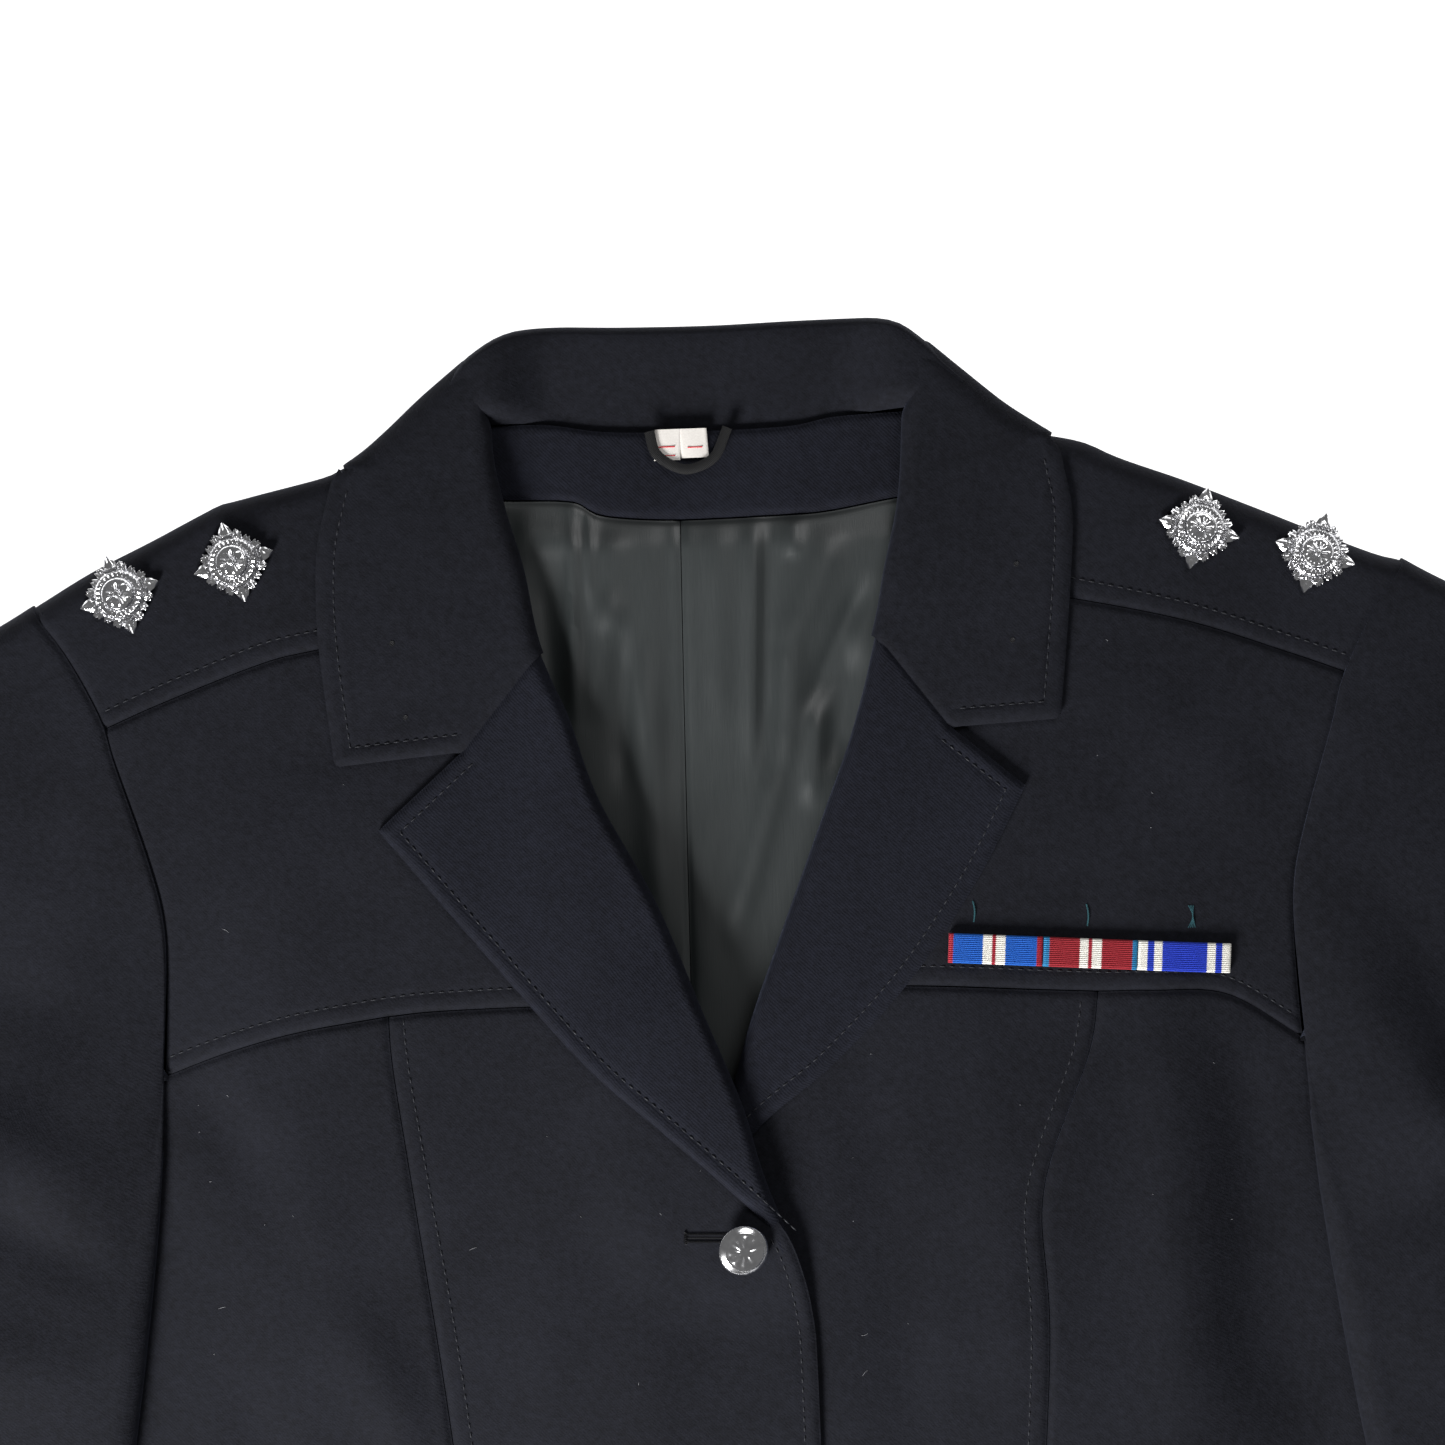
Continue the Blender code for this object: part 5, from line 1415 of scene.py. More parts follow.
UNDER_SLEEVE_CUT = (0.24, 0.62)
BACK_CUT = (0.63, 0.70)
for side, half in HALVES.items():
    build_top_sleeve(side, half)
    shell_of_node(f"under_sleeve_{side}", f"sleeve_under_{side}", UNDER_SLEEVE_CUT)
shell_of_node("back_panel", "back", BACK_CUT)


# %% [markdown]
# Top-stitching is one thread that dives in and out of the cloth. A bump could hint at it, but stitches catch
# light and cast tiny shadows, so each one is a short arc of thread with its ends sunk in the furrow. The arcs
# of a line are made in one loop and joined into one mesh.


# %% Threads
STITCH_PITCH = 3.3
STITCH_LENGTH = 2.5
THREAD_RADIUS = 0.24
STITCH_RISES = np.array([-0.30, 0.10, 0.24, 0.10, -0.30])
STITCH_SWELLS = np.array([0.5, 0.9, 1.0, 0.9, 0.5])


def ring_faces(rings, sides):
    """Faces of a closed tube whose rings of points follow each other, with a cap at each end."""
    faces = []
    for ring in range(rings - 1):
        low = ring * sides
        for step in range(sides):
            following = (step + 1) % sides
            faces.append([low + step, low + following, low + sides + following, low + sides + step])
    last = (rings - 1) * sides
    faces.append(list(range(sides))[::-1])
    faces.append([last + step for step in range(sides)])
    return faces


def tube(path, radii, sides=6):
    """Vertices and faces of a closed tube along a path, with a radius at each point."""
    path = np.asarray(path, float)
    along = np.gradient(path, axis=0)
    along = along / np.maximum(np.linalg.norm(along, axis=1), 1e-9)[:, None]
    up = np.tile([0.0, 0.0, 1.0], (len(path), 1))
    up[np.abs(along[:, 2]) > 0.9] = [1.0, 0.0, 0.0]
    side = np.cross(along, up)
    side = side / np.linalg.norm(side, axis=1)[:, None]
    above = np.cross(side, along)
    angles = np.linspace(0, 2 * math.pi, sides, endpoint=False)
    ring = side[:, None] * np.cos(angles)[None, :, None] + above[:, None] * np.sin(angles)[None, :, None]
    vertices = (path[:, None] + ring * np.asarray(radii, float)[:, None, None]).reshape(-1, 3)
    return vertices, ring_faces(len(path), sides)


class Many:
    """Gathers small shapes, to be made as one mesh."""

    def __init__(self):
        self.vertices = []
        self.faces = []
        self.count = 0

    def add(self, vertices, faces):
        self.vertices.append(np.asarray(vertices, float))
        self.faces.extend([index + self.count for index in face] for face in faces)
        self.count += len(vertices)

    def add_thread(self, route, radius, sides=5):
        """One thread of even thickness along a route."""
        self.add(*tube(route, np.full(len(route), radius), sides))

    def made(self, name, finish, slot):
        mesh_piece(name, np.vstack(self.vertices), self.faces, finish, sharp=60)


def stitches_along(many, path):
    """Short arcs of thread at even steps along a path."""
    length = length_of(path)
    count = int(length / STITCH_PITCH)
    for index in range(count):
        start = (index + 0.1) * STITCH_PITCH
        arc = at_shares(path, np.linspace(start, start + STITCH_LENGTH, len(STITCH_RISES)) / length)
        arc[:, 2] += STITCH_RISES
        many.add(*tube(arc, STITCH_SWELLS * THREAD_RADIUS))
    return count


top_stitching = Many()
total = sum(stitches_along(top_stitching, path) for path in stitch_paths)
top_stitching.made("top_stitching", STITCH_THREAD, "black_tape")
print(f"{total} stitches on {len(stitch_paths)} lines")

# %% [markdown]
# The buttonholes are worked by machine: two close ridges of buttonhole twist, a bar across the far end, and
# the slit between. All four are worked alike, and about 10 mm of each shows beside its button. Above the
# ribbon bar are loose tacking threads, and the collar leaves have small pin holes, each a thread-thin rim
# round a black disc that is painted shade for the hole.

# %% Buttonholes, tacks and pin holes
BUTTON_X = 0.4
BUTTON_FIRST_Y = -176.6
BUTTON_SPACING = 95.0
BUTTON_COUNT = 4
HOLE_END_X = -18.0
HOLE_TILT = -0.035
HOLE_RISE = 3.9
HOLE_HALF = 1.25
TACKS = [(82.6, -66.9, 7.2, 1), (121.0, -69.4, 7.4, 1), (156.4, -71.2, 7.6, 4)]
PIN_HOLES = [(-110.6, 30.6), (-107.0, 5.4), (101.0, 50.1), (98.8, 24.4)]


def on_front(x, y, lift):
    """A point at a lift above the front that lies uppermost on that side."""
    return [x, y, float(FRONT_FACES["right" if x < 0 else "left"](x, y)) + lift]


def work_buttonhole(many, y):
    """The ridges, bar and slit of the buttonhole whose button stands at the height y."""
    def at_hole(x, aside, lift):
        return [x, y + HOLE_RISE + aside, float(right_front_face(x, y + HOLE_RISE + aside)) + lift]

    xs = np.linspace(HOLE_END_X, BUTTON_X - 3, 60)
    for row in (-HOLE_HALF, HOLE_HALF):
        many.add_thread([
            at_hole(x, row + 0.32 * (-1) ** step + (x - HOLE_END_X) * HOLE_TILT, 0.30)
            for step, x in enumerate(xs)
        ], 0.26)
    many.add_thread([
        at_hole(HOLE_END_X - 0.5 + 0.4 * (-1) ** step, rise, 0.36)
        for step, rise in enumerate(np.linspace(-2.0, 2.0, 14))
    ], 0.30)
    many.add_thread([at_hole(x, (x - HOLE_END_X) * HOLE_TILT, -0.02) for x in xs[::6]], 0.30)


def lay_tack(many, x, y, height, strands):
    """A cut tacking thread; several strands are thinner and splay at both ends."""
    for strand in range(strands):
        spread = (strand - (strands - 1) / 2) * 0.7
        route = []
        for share in np.linspace(0, 1, 9):
            arch = 0.45 * math.sin(math.pi * share)
            splay = spread * (2 * abs(share - 0.45)) ** 1.5
            route.append(on_front(x + arch + splay, y + height * (0.5 - share), arch + 0.05))
        many.add_thread(route, 0.26 if strands == 1 else 0.15)


def lay_pin_hole_rim_and_painted_shade(many, x, y):
    """A thread-thin rim in a collar leaf round a black disc that is painted shade for the pin hole's pit."""
    z = on_front(x, y, LAID_GAP + DOUBLE_WOOL)[2]
    turns = np.linspace(0, 2 * math.pi, 13)
    rim = [(x + 0.75 * math.cos(turn), y + 0.75 * math.sin(turn), z + 0.04) for turn in turns]
    many.add_thread(rim, 0.16)
    # the black disc is painted shade: it stands where the dark inside of the pin hole would be
    many.add(*tube([(x, y, z - 0.4), (x, y, z + 0.06)], [0.55, 0.6], 8))


buttonholes = Many()
for index in range(BUTTON_COUNT):
    work_buttonhole(buttonholes, BUTTON_FIRST_Y - BUTTON_SPACING * index)
buttonholes.made("buttonholes", BLACK_THREAD, "black_tape")
tacks = Many()
for tack in TACKS:
    lay_tack(tacks, *tack)
tacks.made("tacking_threads", TEAL_THREAD, "black_tape")
pin_hole_rims_and_painted_shade = Many()
for x, y in PIN_HOLES:
    lay_pin_hole_rim_and_painted_shade(pin_hole_rims_and_painted_shade, x, y)
# the pin holes are thread rims round black discs of painted shade
pin_hole_rims_and_painted_shade.made("pin_hole_rims_and_painted_shade", BLACK_THREAD, "black_tape")
print(f"{BUTTON_COUNT} buttonholes, {len(TACKS)} tacks and {len(PIN_HOLES)} pin holes")

# %% [markdown]
# Dark wool picks up pale lint. Each fibre is a hair of a tube with a slight bend, dropped at random on the
# chest and fronts, and left out where the collar and lapels lie. A fixed seed gives the same lint each run.

# %% Lint
LINT_SEED = 7
LINT_COUNT = 46
LINT_REACHES = [0.5, 0.9, 2.6]
LINT_ODDS = [0.5, 0.3, 0.2]
LINT_RADII = [0.03, 0.06, 0.07, 0.07, 0.06, 0.03]
scatter = np.random.default_rng(LINT_SEED)
lint = Many()
for _ in range(LINT_COUNT):
    x, y = scatter.uniform(-185, 185), scatter.uniform(-235, -100)
    if scatter.random() < 0.45:
        x, y = scatter.uniform(-190, 190), scatter.uniform(-90, 30)
    bearing = scatter.uniform(0, 2 * math.pi)
    reach = scatter.choice(LINT_REACHES, p=LINT_ODDS)
    bend = scatter.uniform(-0.5, 0.5)
    if abs(x) < 125 and y > -90 - 0.4 * abs(x):
        continue
    face = FRONT_FACES["right" if x < 0 else "left"]
    route = []
    for share in np.linspace(-0.5, 0.5, len(LINT_RADII)):
        at_x = x + reach * (share * math.cos(bearing) - bend * share**2 * math.sin(bearing))
        at_y = y + reach * (share * math.sin(bearing) + bend * share**2 * math.cos(bearing))
        route.append([at_x, at_y, float(face(at_x, at_y)) + 0.12])
    lint.add(*tube(route, LINT_RADII, 5))
lint.made("lint_fibres", LINT_FINISH, "white_label")
print("lint fibres:", len(lint.vertices))

# %% [markdown]
# A rank star is a die-struck plate: four pointed leaves at its corners, small leaves along its sides, a band
# before each corner, and rings that step up to a boss in the middle. It is made as one height field on a
# polar grid, because a struck plate has no undercuts. The boss carries a plain rosette of petals.


# %% Rank stars
STAR_REACH = 14.2
STAR_PLACES = [("inner", 163.4, 59.9, 15.0), ("outer", 202.5, 50.3, 18.0)]
LEAF_LENGTH = 8.6
LEAF_HALF = 2.5
STAR_STEPS = 288
STAR_RINGS = 60
BEADS = 28
PETALS = 8
PLATE_LIFT = 0.4


def leaf_height(x, y, tip, base, half):
    """A pointed leaf from base to tip, ridged along its middle: its height, below 0 outside it."""
    axis = np.subtract(tip, base)
    length = np.hypot(*axis)
    axis = axis / length
    along = ((x - base[0]) * axis[0] + (y - base[1]) * axis[1]) / length
    aside = np.abs((x - base[0]) * axis[1] - (y - base[1]) * axis[0])
    within = (along > 0.0) & (along < 1.0)
    along = np.clip(along, 0.0, 1.0)
    width = half * np.sin(math.pi * (0.18 + 0.82 * along)) ** 0.8
    inside = np.where(within, 1.0 - aside / np.maximum(width, 1e-3), -1.0)
    vein = 0.32 * np.exp(-((aside / 0.32) ** 2))
    return np.where(inside > 0, np.minimum(inside * 2.2, 1.0) - vein, -1.0)


def star_leaves():
    """Tip, base and half width of each leaf of a star, standing on its corner."""
    leaves = []
    for quarter in range(4):
        angle = quarter * math.pi / 2
        corner = np.array([math.cos(angle), math.sin(angle)])
        beside = np.array([-corner[1], corner[0]])
        leaves.append((corner * STAR_REACH, corner * (STAR_REACH - LEAF_LENGTH), LEAF_HALF))
        for turn in (-1, 1):
            tip = corner * (STAR_REACH - 3.3) + beside * turn * 3.9
            leaves.append((tip, corner * (STAR_REACH - 8.6) + beside * turn * 1.6, 1.7))
            for step in range(3):
                share = 0.36 + 0.17 * step
                foot = corner * STAR_REACH * (1 - share) + beside * turn * STAR_REACH * share
                normal = (corner + beside * turn) / math.sqrt(2)
                leaves.append((foot + normal * 0.75, foot - normal * 4.2, 1.15))
    return leaves


def star_reaches(angles, leaves):
    """How far the star reaches at each angle: to the tip of a leaf or the side of its square."""
    along = np.linspace(6.0, STAR_REACH + 0.05, 160)
    reaches = []
    for angle in angles:
        x, y = along * math.cos(angle), along * math.sin(angle)
        inside = np.max([leaf_height(x, y, *leaf) for leaf in leaves], axis=0) > 0.0
        square = along * (abs(math.cos(angle)) + abs(math.sin(angle))) < STAR_REACH - 1.6
        reaches.append(along[np.nonzero(inside | square)[0].max()])
    return np.array(reaches)


def struck_height(x, y, radius, angles, leaves):
    """Height of the struck top: leaves, plateau, bands, beaded ring, boss and rosette."""
    leaf = np.max([leaf_height(x, y, *leaf) for leaf in leaves], axis=0)
    height = 0.75 + 0.75 * np.maximum(leaf, 0.0)
    plateau = smoothstep(11.6, 10.6, np.abs(x) + np.abs(y))
    height = height * (1 - plateau) + 1.7 * plateau
    for sign_x, sign_y in ((1, 0), (-1, 0), (0, 1), (0, -1)):
        out = x * sign_x + y * sign_y
        aside = np.abs(x * sign_y - y * sign_x)
        band = smoothstep(0.55, 0.30, np.abs(out - 9.1)) * smoothstep(3.4, 2.9, aside)
        height = np.maximum(height, 2.25 * band)
    step_up = 2.1 + 0.35 * smoothstep(8.3, 7.9, radius)
    height = np.where(radius <= 8.4, np.maximum(height, step_up), height)
    beads = 0.22 * np.cos(angles[:, None] * BEADS)
    collar = smoothstep(7.9, 7.6, radius)
    height = height + collar * (0.55 + beads * smoothstep(1.0, 0.2, np.abs(radius - 7.0)))
    boss = smoothstep(5.9, 5.5, radius)
    height = height + boss * 1.35
    rim = smoothstep(0.45, 0.1, np.abs(radius - 5.1))
    petal_ring = smoothstep(0.6, 1.6, radius) * smoothstep(4.4, 3.4, radius)
    petals = 0.30 * np.cos(angles[:, None] * PETALS) * petal_ring
    dome = boss * (1.25 * np.sqrt(np.clip(1 - (radius / 5.2) ** 2, 0, 1)) + 0.28 * rim + petals)
    heart = 0.45 * smoothstep(1.3, 0.7, radius)
    return height + dome + heart


def star_relief():
    """Vertices and faces of a star: its struck top over a flat back."""
    leaves = star_leaves()
    angles = np.linspace(0, 2 * math.pi, STAR_STEPS, endpoint=False)
    shares = np.linspace(0.0, 1.0, STAR_RINGS + 1)[1:]
    radius = star_reaches(angles, leaves)[:, None] * shares[None, :]
    x = radius * np.cos(angles)[:, None]
    y = radius * np.sin(angles)[:, None]
    height = struck_height(x, y, radius, angles, leaves)
    top = np.stack([x, y, height], axis=-1).reshape(-1, 3)
    base = np.stack([x[:, -1], y[:, -1], np.zeros(STAR_STEPS)], axis=-1)
    vertices = np.vstack([top, base, [[0, 0, float(height[:, 0].mean()) + 0.02], [0, 0, 0.0]]])
    peak, foot = len(vertices) - 2, len(vertices) - 1
    first_base = len(top)
    last_ring = STAR_RINGS - 1
    faces = []
    for step in range(STAR_STEPS):
        following = (step + 1) % STAR_STEPS
        row, next_row = step * STAR_RINGS, following * STAR_RINGS
        faces.append([peak, row, next_row])
        for ring in range(last_ring):
            faces.append([row + ring, row + ring + 1, next_row + ring + 1, next_row + ring])
        faces.append([row + last_ring, first_base + step, first_base + following, next_row + last_ring])
        faces.append([foot, first_base + following, first_base + step])
    return vertices, faces


def placed(vertices, place, axis, spin=0.0):
    """Points turned so that their z axis points along axis, spun round it, and moved to a place."""
    turn = Vector((0, 0, 1)).rotation_difference(Vector(axis)).to_matrix() @ Matrix.Rotation(spin, 3, "Z")
    return np.asarray(vertices) @ np.array(turn).T + np.asarray(place)


star_vertices, star_faces = star_relief()
for side, half in HALVES.items():
    for name, out, y, tilt in STAR_PLACES:
        points, normals = on_face(np.array([[[out, y]]], float), left_front_face, half["sign"])
        place = points[0, 0] + normals[0, 0] * (LAID_GAP + PLATE_LIFT)
        where = placed(star_vertices, place, normals[0, 0], math.radians(-tilt * half["sign"]))
        mesh_piece(
            f"star_{side}_{name}", where, star_faces, CHROME_FINISH,
            [f"rank_star_{side}_{name}"], 38,
        )
print(f"each star has {len(star_faces)} faces")

# %% [markdown]
# The buttons are chromed and domed, on a shank. A button is a turned profile, and its dome carries a low
# rosette of petals inside a fine rim, raised in the same way as the rosettes of the stars.


# %% Buttons
BUTTON_TILT = math.radians(10)
BUTTON_LIFT = 0.6
BUTTON_STEPS = 96
DOME_RINGS = 30
DOME_RADIUS = 7.9
BUTTON_PROFILE = [
    (0.001, 0.0), (2.6, 0.0), (2.6, 1.4), (7.4, 1.6), (8.2, 2.0), (8.5, 2.6), (8.4, 3.1), (8.0, 3.5),
]


def button_shape():
    """A domed button: its shank and back by the profile, and its dome as rings with a low rosette."""
    rings = [(radius, height, 0.0) for radius, height in BUTTON_PROFILE]
    for share in np.linspace(0.97, 0.03, DOME_RINGS):
        radius = DOME_RADIUS * share
        dome = 3.45 + 2.85 * math.sqrt(max(0.0, 1 - (share * 0.94) ** 2)) - 0.9
        petal = 0.16 * float(smoothstep(1.2, 2.2, radius) * smoothstep(5.6, 4.6, radius))
        rim = 0.16 * math.exp(-(((radius - 6.4) / 0.28) ** 2))
        rings.append((radius, dome + rim, petal))
    angles = np.linspace(0, 2 * math.pi, BUTTON_STEPS, endpoint=False)
    vertices = []
    for radius, height, petal in rings:
        lift = height + petal * np.cos(angles * PETALS)
        vertices.append(np.column_stack([radius * np.cos(angles), radius * np.sin(angles), lift]))
    return np.vstack(vertices), ring_faces(len(rings), BUTTON_STEPS)


button_vertices, button_faces = button_shape()
button_axis = (math.sin(BUTTON_TILT), -math.sin(BUTTON_TILT) * 0.5, math.cos(BUTTON_TILT))
for index in range(BUTTON_COUNT):
    y = BUTTON_FIRST_Y - BUTTON_SPACING * index
    place = (BUTTON_X, y, float(right_front_face(BUTTON_X, y)) + LAID_GAP + BUTTON_LIFT)
    mesh_piece(
        f"dome_button_{index + 1}", placed(button_vertices, place, button_axis), button_faces, CHROME_FINISH,
        [f"button_{index + 1}"], 40,
    )
print(f"each button has {len(button_faces)} faces")

# %% [markdown]
# Medal ribbon is a ribbed weave: fine ribs run along the bar, and the stripes are warps of other colours, so
# a stripe's edge steps from rib to rib. The ribs are real rows of the mesh, and a ramp with hard stops along
# the bar gives the stripes.

# %% Medal ribbons
RIBBON_BAR_X = 121.4
RIBBON_BAR_Y = -82.3
RIBBON_BAR_TILT = math.radians(-4.2)
RIBBON_WIDTH = 32.0
RIBBON_HEIGHT = 9.9
RIBBON_THICK = 2.2
RIBS = 15
RIB_RISE = 0.16
RIBBON_END_FADE = 0.35
RIBBON_WALL = 1.4

RED = (0.36, 0.012, 0.030)
DARK_RED = (0.30, 0.012, 0.022)
WHITE = (0.80, 0.78, 0.72)
BLUE = (0.006, 0.105, 0.48)
ROYAL = (0.012, 0.040, 0.46)
SKY = (0.018, 0.20, 0.42)
RIBBON_STRIPES = [
    [(0.05, RED), (0.31, BLUE), (0.10, WHITE), (0.04, RED), (0.10, WHITE), (0.33, BLUE), (0.07, RED)],
    [
        (0.065, SKY), (0.32, DARK_RED), (0.09, WHITE), (0.04, RED), (0.10, WHITE), (0.325, DARK_RED),
        (0.06, SKY),
    ],
    [
        (0.10, WHITE), (0.07, ROYAL), (0.085, WHITE), (0.48, ROYAL), (0.09, WHITE), (0.07, ROYAL),
        (0.105, WHITE),
    ],
]


def ribbon_finish(name, stripes, start):
    """Striped, ribbed ribbon; start is the middle of the ribbon's first edge."""
    made, shader, place = new_finish(name, Sheen_Weight=0.12, Sheen_Roughness=0.35, Specular_IOR_Level=0.35)
    along = (math.cos(RIBBON_BAR_TILT), math.sin(RIBBON_BAR_TILT), 0.0)
    up = (-along[1], along[0], 0.0)
    origin = (start[0] * MM, (start[1] + GARMENT_Y) * MM, 0.0)
    offset = place.node("ShaderNodeVectorMath", {"operation": "SUBTRACT"}, s0=place, s1=origin)
    dot_product = {"operation": "DOT_PRODUCT"}
    travelled = offset.node("ShaderNodeVectorMath", dot_product, output=1, s0=offset, s1=along)
    risen = offset.node("ShaderNodeVectorMath", dot_product, output=1, s0=offset, s1=up)
    rib_angle = risen * (2 * math.pi * RIBS / (RIBBON_HEIGHT * MM))
    share = travelled * (1 / (RIBBON_WIDTH * MM)) + rib_angle.maths("COSINE", rib_angle) * 0.006
    stops = []
    reached = 0.0
    for width, tone in stripes:
        stops.append((reached, (*tone, 1.0)))
        reached += width
    ramp = share.node("ShaderNodeValToRGB", {"stops": stops}, s0=share)
    ramp.socket.node.color_ramp.interpolation = "CONSTANT"
    yarn = noise(stretched(place, (5200.0, 1500.0, 1500.0)), 1.0, 2.0)
    light = yarn + 0.35
    grey = yarn.node("ShaderNodeCombineColor", s0=light, s1=light, s2=light)
    shade = yarn.node(
        "ShaderNodeMix", {"data_type": "RGBA", "blend_type": "MULTIPLY"}, output=2, s0=0.55, s6=ramp, s7=grey,
    )
    connect(shader, Base_Color=shade, Roughness=0.52 + yarn * 0.25, Normal=bumped(yarn, 0.00012, 0.6))
    return made


def ribbon_top(x, y):
    return left_front_face(x, y) + LAID_GAP + RIBBON_THICK


def on_bar(plan):
    """Places along and up the ribbon bar, turned and moved to the chest."""
    turn = np.array([
        [math.cos(RIBBON_BAR_TILT), math.sin(RIBBON_BAR_TILT)],
        [-math.sin(RIBBON_BAR_TILT), math.cos(RIBBON_BAR_TILT)],
    ])
    return plan @ turn + [RIBBON_BAR_X, RIBBON_BAR_Y]


def build_ribbon(index, stripes):
    """One ribbon of the bar: ribs along it, its ends and its long edges turned down."""
    start = (index - 1.5) * RIBBON_WIDTH + SEAM_GAP / 2
    end = (index - 0.5) * RIBBON_WIDTH - SEAM_GAP / 2
    near_start = [start, start + 0.25, start + 0.7]
    near_end = [end - 0.7, end - 0.25, end]
    xs = np.concatenate([near_start, np.linspace(start + 1.6, end - 1.6, 24), near_end])
    ys = np.linspace(-RIBBON_HEIGHT / 2, RIBBON_HEIGHT / 2, RIBS * 8 + 1)
    points, normals = on_face(on_bar(np.stack(np.meshgrid(xs, ys), axis=-1)), ribbon_top)
    ends = seam_dip(xs - start, 0.5, RIBBON_END_FADE) + seam_dip(end - xs, 0.5, RIBBON_END_FADE)
    ribs = RIB_RISE * np.cos(2 * math.pi * RIBS * ys / RIBBON_HEIGHT)
    points[..., 2] += ribs[:, None] - ends[None, :]
    points[..., 2] -= seam_dip(RIBBON_HEIGHT / 2 - np.abs(ys), 0.7, 0.3)[:, None]
    finish = ribbon_finish(f"ribbon_stripes_{index + 1}", stripes, on_bar([start - SEAM_GAP / 2, 0.0]))
    straight_down = np.zeros_like(normals) + [0, 0, 1]
    shell(
        f"ribbon_{index + 1}", points, straight_down, RIBBON_WALL, finish,
        [f"medal_ribbon_{index + 1}"], 60,
    )


for index, stripes in enumerate(RIBBON_STRIPES):
    build_ribbon(index, stripes)

# %% [markdown]
# Two woven labels lie side by side under the hanger loop. A label is a short cut of white tape whose side
# edges are turned under, so it is a small curved shell, and its print is left as one or two plain red rules.


# %% Labels and hanger loop
def label_finish():
    """Woven label tape; the plain red rules near its lower edge are threads laid on it below."""
    made, shader, place = new_finish("label_tape", Sheen_Weight=0.1, Specular_IOR_Level=0.3)
    warp = noise(stretched(place, (2600.0, 2600.0, 2600.0)), 1.0, 2.0)
    connect(
        shader, Base_Color=blend((0.62, 0.58, 0.54), (0.82, 0.79, 0.75), warp), Roughness=0.72 + warp * 0.15,
        Normal=bumped(warp, 0.0001, 0.5),
    )
    return made


LABEL_FINISH = label_finish()
LABELS = [
    ("label_size", "size_label", -20.2, -11.2, 90.0, 100.6, 0.048),
    ("label_fitting", "fitting_label", -10.8, -1.4, 90.6, 100.6, -0.060),
]
LABEL_WALL = 0.22
LABEL_BELLY = 0.5
TURN_UNDER = 1.6
TURN_DROPS = [0.62, 0.62, 0.55, 0.3]
RULES = [(-18.6, -13.0, 91.6), (-18.6, -13.0, 94.6), (-8.6, -3.6, 94.2)]


def label_top(x, y):
    return facing_face(x, y) + SEAM_GAP + LABEL


def build_label(name, node, x0, x1, y0, y1, lean):
    """A label whose side edges turn under, and whose lower end bellies out a little."""
    under = np.array([TURN_UNDER, TURN_UNDER * 0.5, 0.15])
    xs = np.concatenate([x0 + under, [x0], np.linspace(x0 + 0.3, x1 - 0.3, 14), [x1], x1 - under[::-1]])
    ys = np.linspace(y0, y1, 15)
    points, _ = on_face(np.stack(np.meshgrid(xs, ys), axis=-1), label_top)
    belly = LABEL_BELLY * np.sin((xs - x0) / (x1 - x0) * math.pi)
    points[..., 2] += belly[None, :] * (1 - (ys - y0) / (y1 - y0))[:, None]
    points[..., 0] += (ys - y0)[:, None] * lean
    points[..., 2] -= np.concatenate([TURN_DROPS, np.zeros(14), TURN_DROPS[::-1]])
    shell(
        name, points, grid_normals(points), LABEL_WALL, LABEL_FINISH, [node],
        60,
    )


for label in LABELS:
    build_label(*label)
rules = Many()
for x0, x1, y in RULES:
    rules.add_thread([(x, y, float(label_top(x, y)) + 0.30) for x in np.linspace(x0, x1, 10)], 0.22)
rules.made("label_rules", RED_THREAD, "red_ribbon")

# %% [markdown]
# A tunic is hung by a loop of narrow woven tape whose two ends go into the neck seam. A round cord would look
# wrong here, so a flat section with soft corners is carried along the loop's route.

# %% Hanger loop
LOOP_HALF = 1.75
LOOP_THICK = 0.9
LOOP_LIFT = 0.5
LOOP_ROUTE = [
    Place(-21.5, 100.0), Place(-19.6, 92.6), Place(-13.4, 87.8), Place(-7.4, 86.8), Place(0.4, 90.6),
    Place(5.2, 100.4),
]


def tape_section(count=16):
    """A flat tape's outline, with soft corners and a low rib along each face: places across and up."""
    turns = np.linspace(0, 2 * math.pi, count, endpoint=False)
    across = LOOP_HALF * np.sign(np.cos(turns)) * np.abs(np.cos(turns)) ** 0.7
    up = LOOP_THICK / 2 * np.sign(np.sin(turns)) * np.abs(np.sin(turns)) ** 0.5
    return across, up * (1 + 0.12 * np.cos(turns * 4))


loop_plan = smooth_curve(LOOP_ROUTE, 60)
loop_z = facing_face(loop_plan[:, 0], loop_plan[:, 1]) + 2 * SEAM_GAP + LABEL + LOOP_LIFT
loop_path = np.column_stack([loop_plan, loop_z])
tape_across, tape_up = tape_section()
rings = np.zeros((len(loop_plan), len(tape_up), 3))
rings[..., :2] = loop_plan[:, None] + side_of(loop_plan)[:, None] * tape_across[None, :, None]
rings[..., 2] = loop_z[:, None] + tape_up[None, :]
loop = mesh_piece(
    "loop_tape", rings.reshape(-1, 3), ring_faces(*rings.shape[:2]), TAPE_FINISH,
    ["hanger_loop"],
)
loop_length = length_of(loop_path)
print(f"hanger loop: {loop_length:.0f} mm of tape {2 * LOOP_HALF:.1f} mm wide")

# %% [markdown]
# The tunic lies on a plain pale floor under soft studio light, and the camera looks straight down at its top
# half, turned by two degrees as the garment lies in the picture.

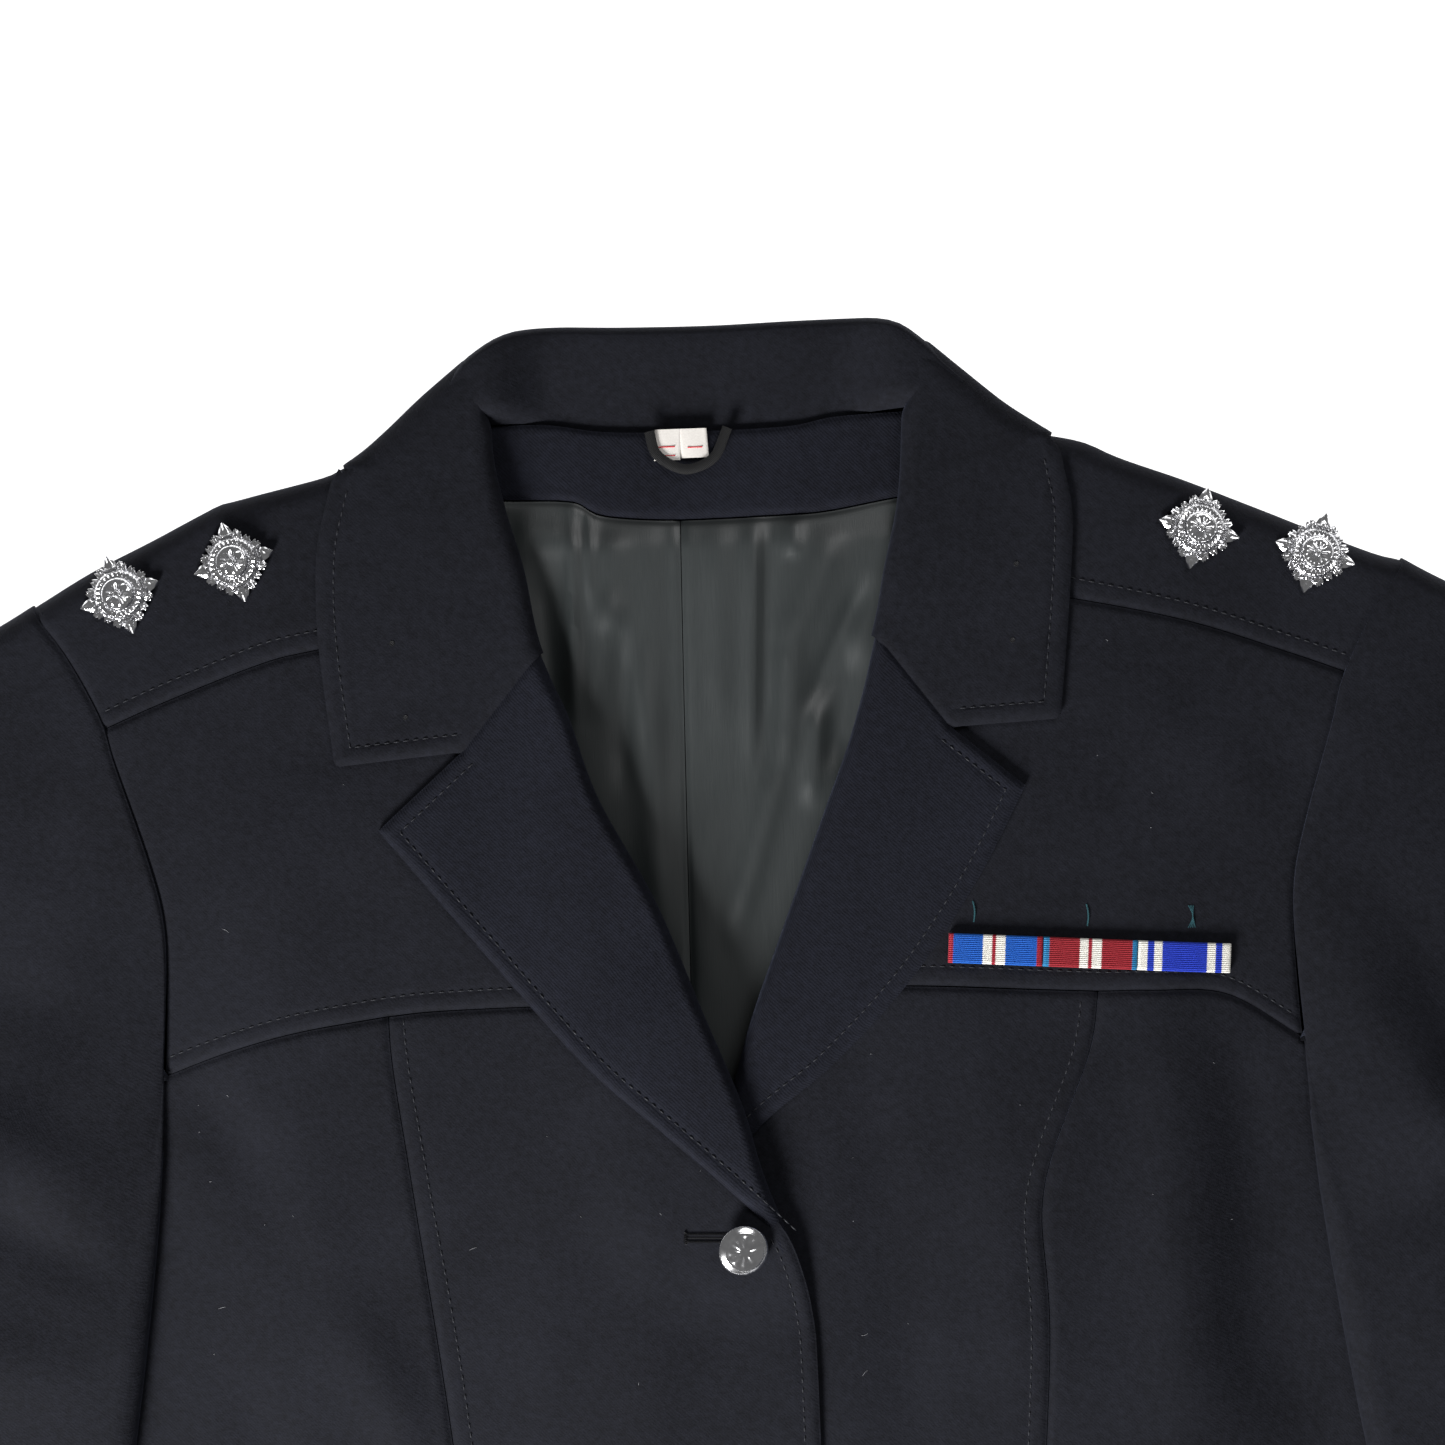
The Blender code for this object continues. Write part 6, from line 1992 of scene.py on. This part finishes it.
# %% Floor, light and camera
VIEW_WIDTH = 487.0
VIEW_LEVEL = 20.0
CAMERA_HEIGHT = 900.0
SENSOR = 36.0
CAMERA_ROLL = math.radians(-2)
FLOOR_REACH = 4.0

floor_mesh = bpy.data.meshes.new("floor")
corners = [(x * FLOOR_REACH, y * FLOOR_REACH, 0) for x, y in ((-1, -1), (1, -1), (1, 1), (-1, 1))]
floor_mesh.from_pydata(corners, [], [(0, 1, 2, 3)])
floor = bpy.data.objects.new("floor", floor_mesh)
bpy.context.scene.collection.objects.link(floor)
floor_finish, floor_shader, floor_place = new_finish(
    "floor_pale", Base_Color=(0.90, 0.90, 0.90, 1.0), Emission_Color=(1.0, 1.0, 1.0, 1.0),
    Emission_Strength=0.95,
)
connect(floor_shader, Roughness=0.85 + noise(floor_place, 3.0) * 0.05)
floor_mesh.materials.append(floor_finish)

camera_data = bpy.data.cameras.new("camera")
camera_data.sensor_width = SENSOR
camera_data.lens = SENSOR * (CAMERA_HEIGHT - VIEW_LEVEL) / VIEW_WIDTH
camera = bpy.data.objects.new("camera", camera_data)
camera.location = (0.0, GARMENT_Y * MM, CAMERA_HEIGHT * MM)
camera.rotation_euler = (0.0, 0.0, CAMERA_ROLL)
bpy.context.scene.collection.objects.link(camera)
bpy.context.scene.camera = camera


def area_light(name, place, target, size, power):
    """A soft square light that looks at a target."""
    lamp = bpy.data.lights.new(name, "AREA")
    lamp.size = size
    lamp.energy = power
    made = bpy.data.objects.new(name, lamp)
    made.location = place
    made.rotation_euler = (Vector(target) - Vector(place)).to_track_quat("-Z", "Y").to_euler()
    bpy.context.scene.collection.objects.link(made)


area_light("key_light", (-0.70, -1.05, 0.72), (0.0, 0.15, 0.0), 0.5, 60.0)
area_light("sky_light", (0.75, 1.15, 1.3), (0.0, 0.2, 0.0), 0.9, 11.0)
world = bpy.data.worlds.new("studio")
world.use_nodes = True
world.node_tree.nodes["Background"].inputs[0].default_value = (1.0, 1.0, 1.0, 1.0)
world.node_tree.nodes["Background"].inputs[1].default_value = 0.15
bpy.context.scene.world = world
bpy.context.scene.view_settings.view_transform = "Standard"
print(f"camera lens: {camera_data.lens:.1f} mm")
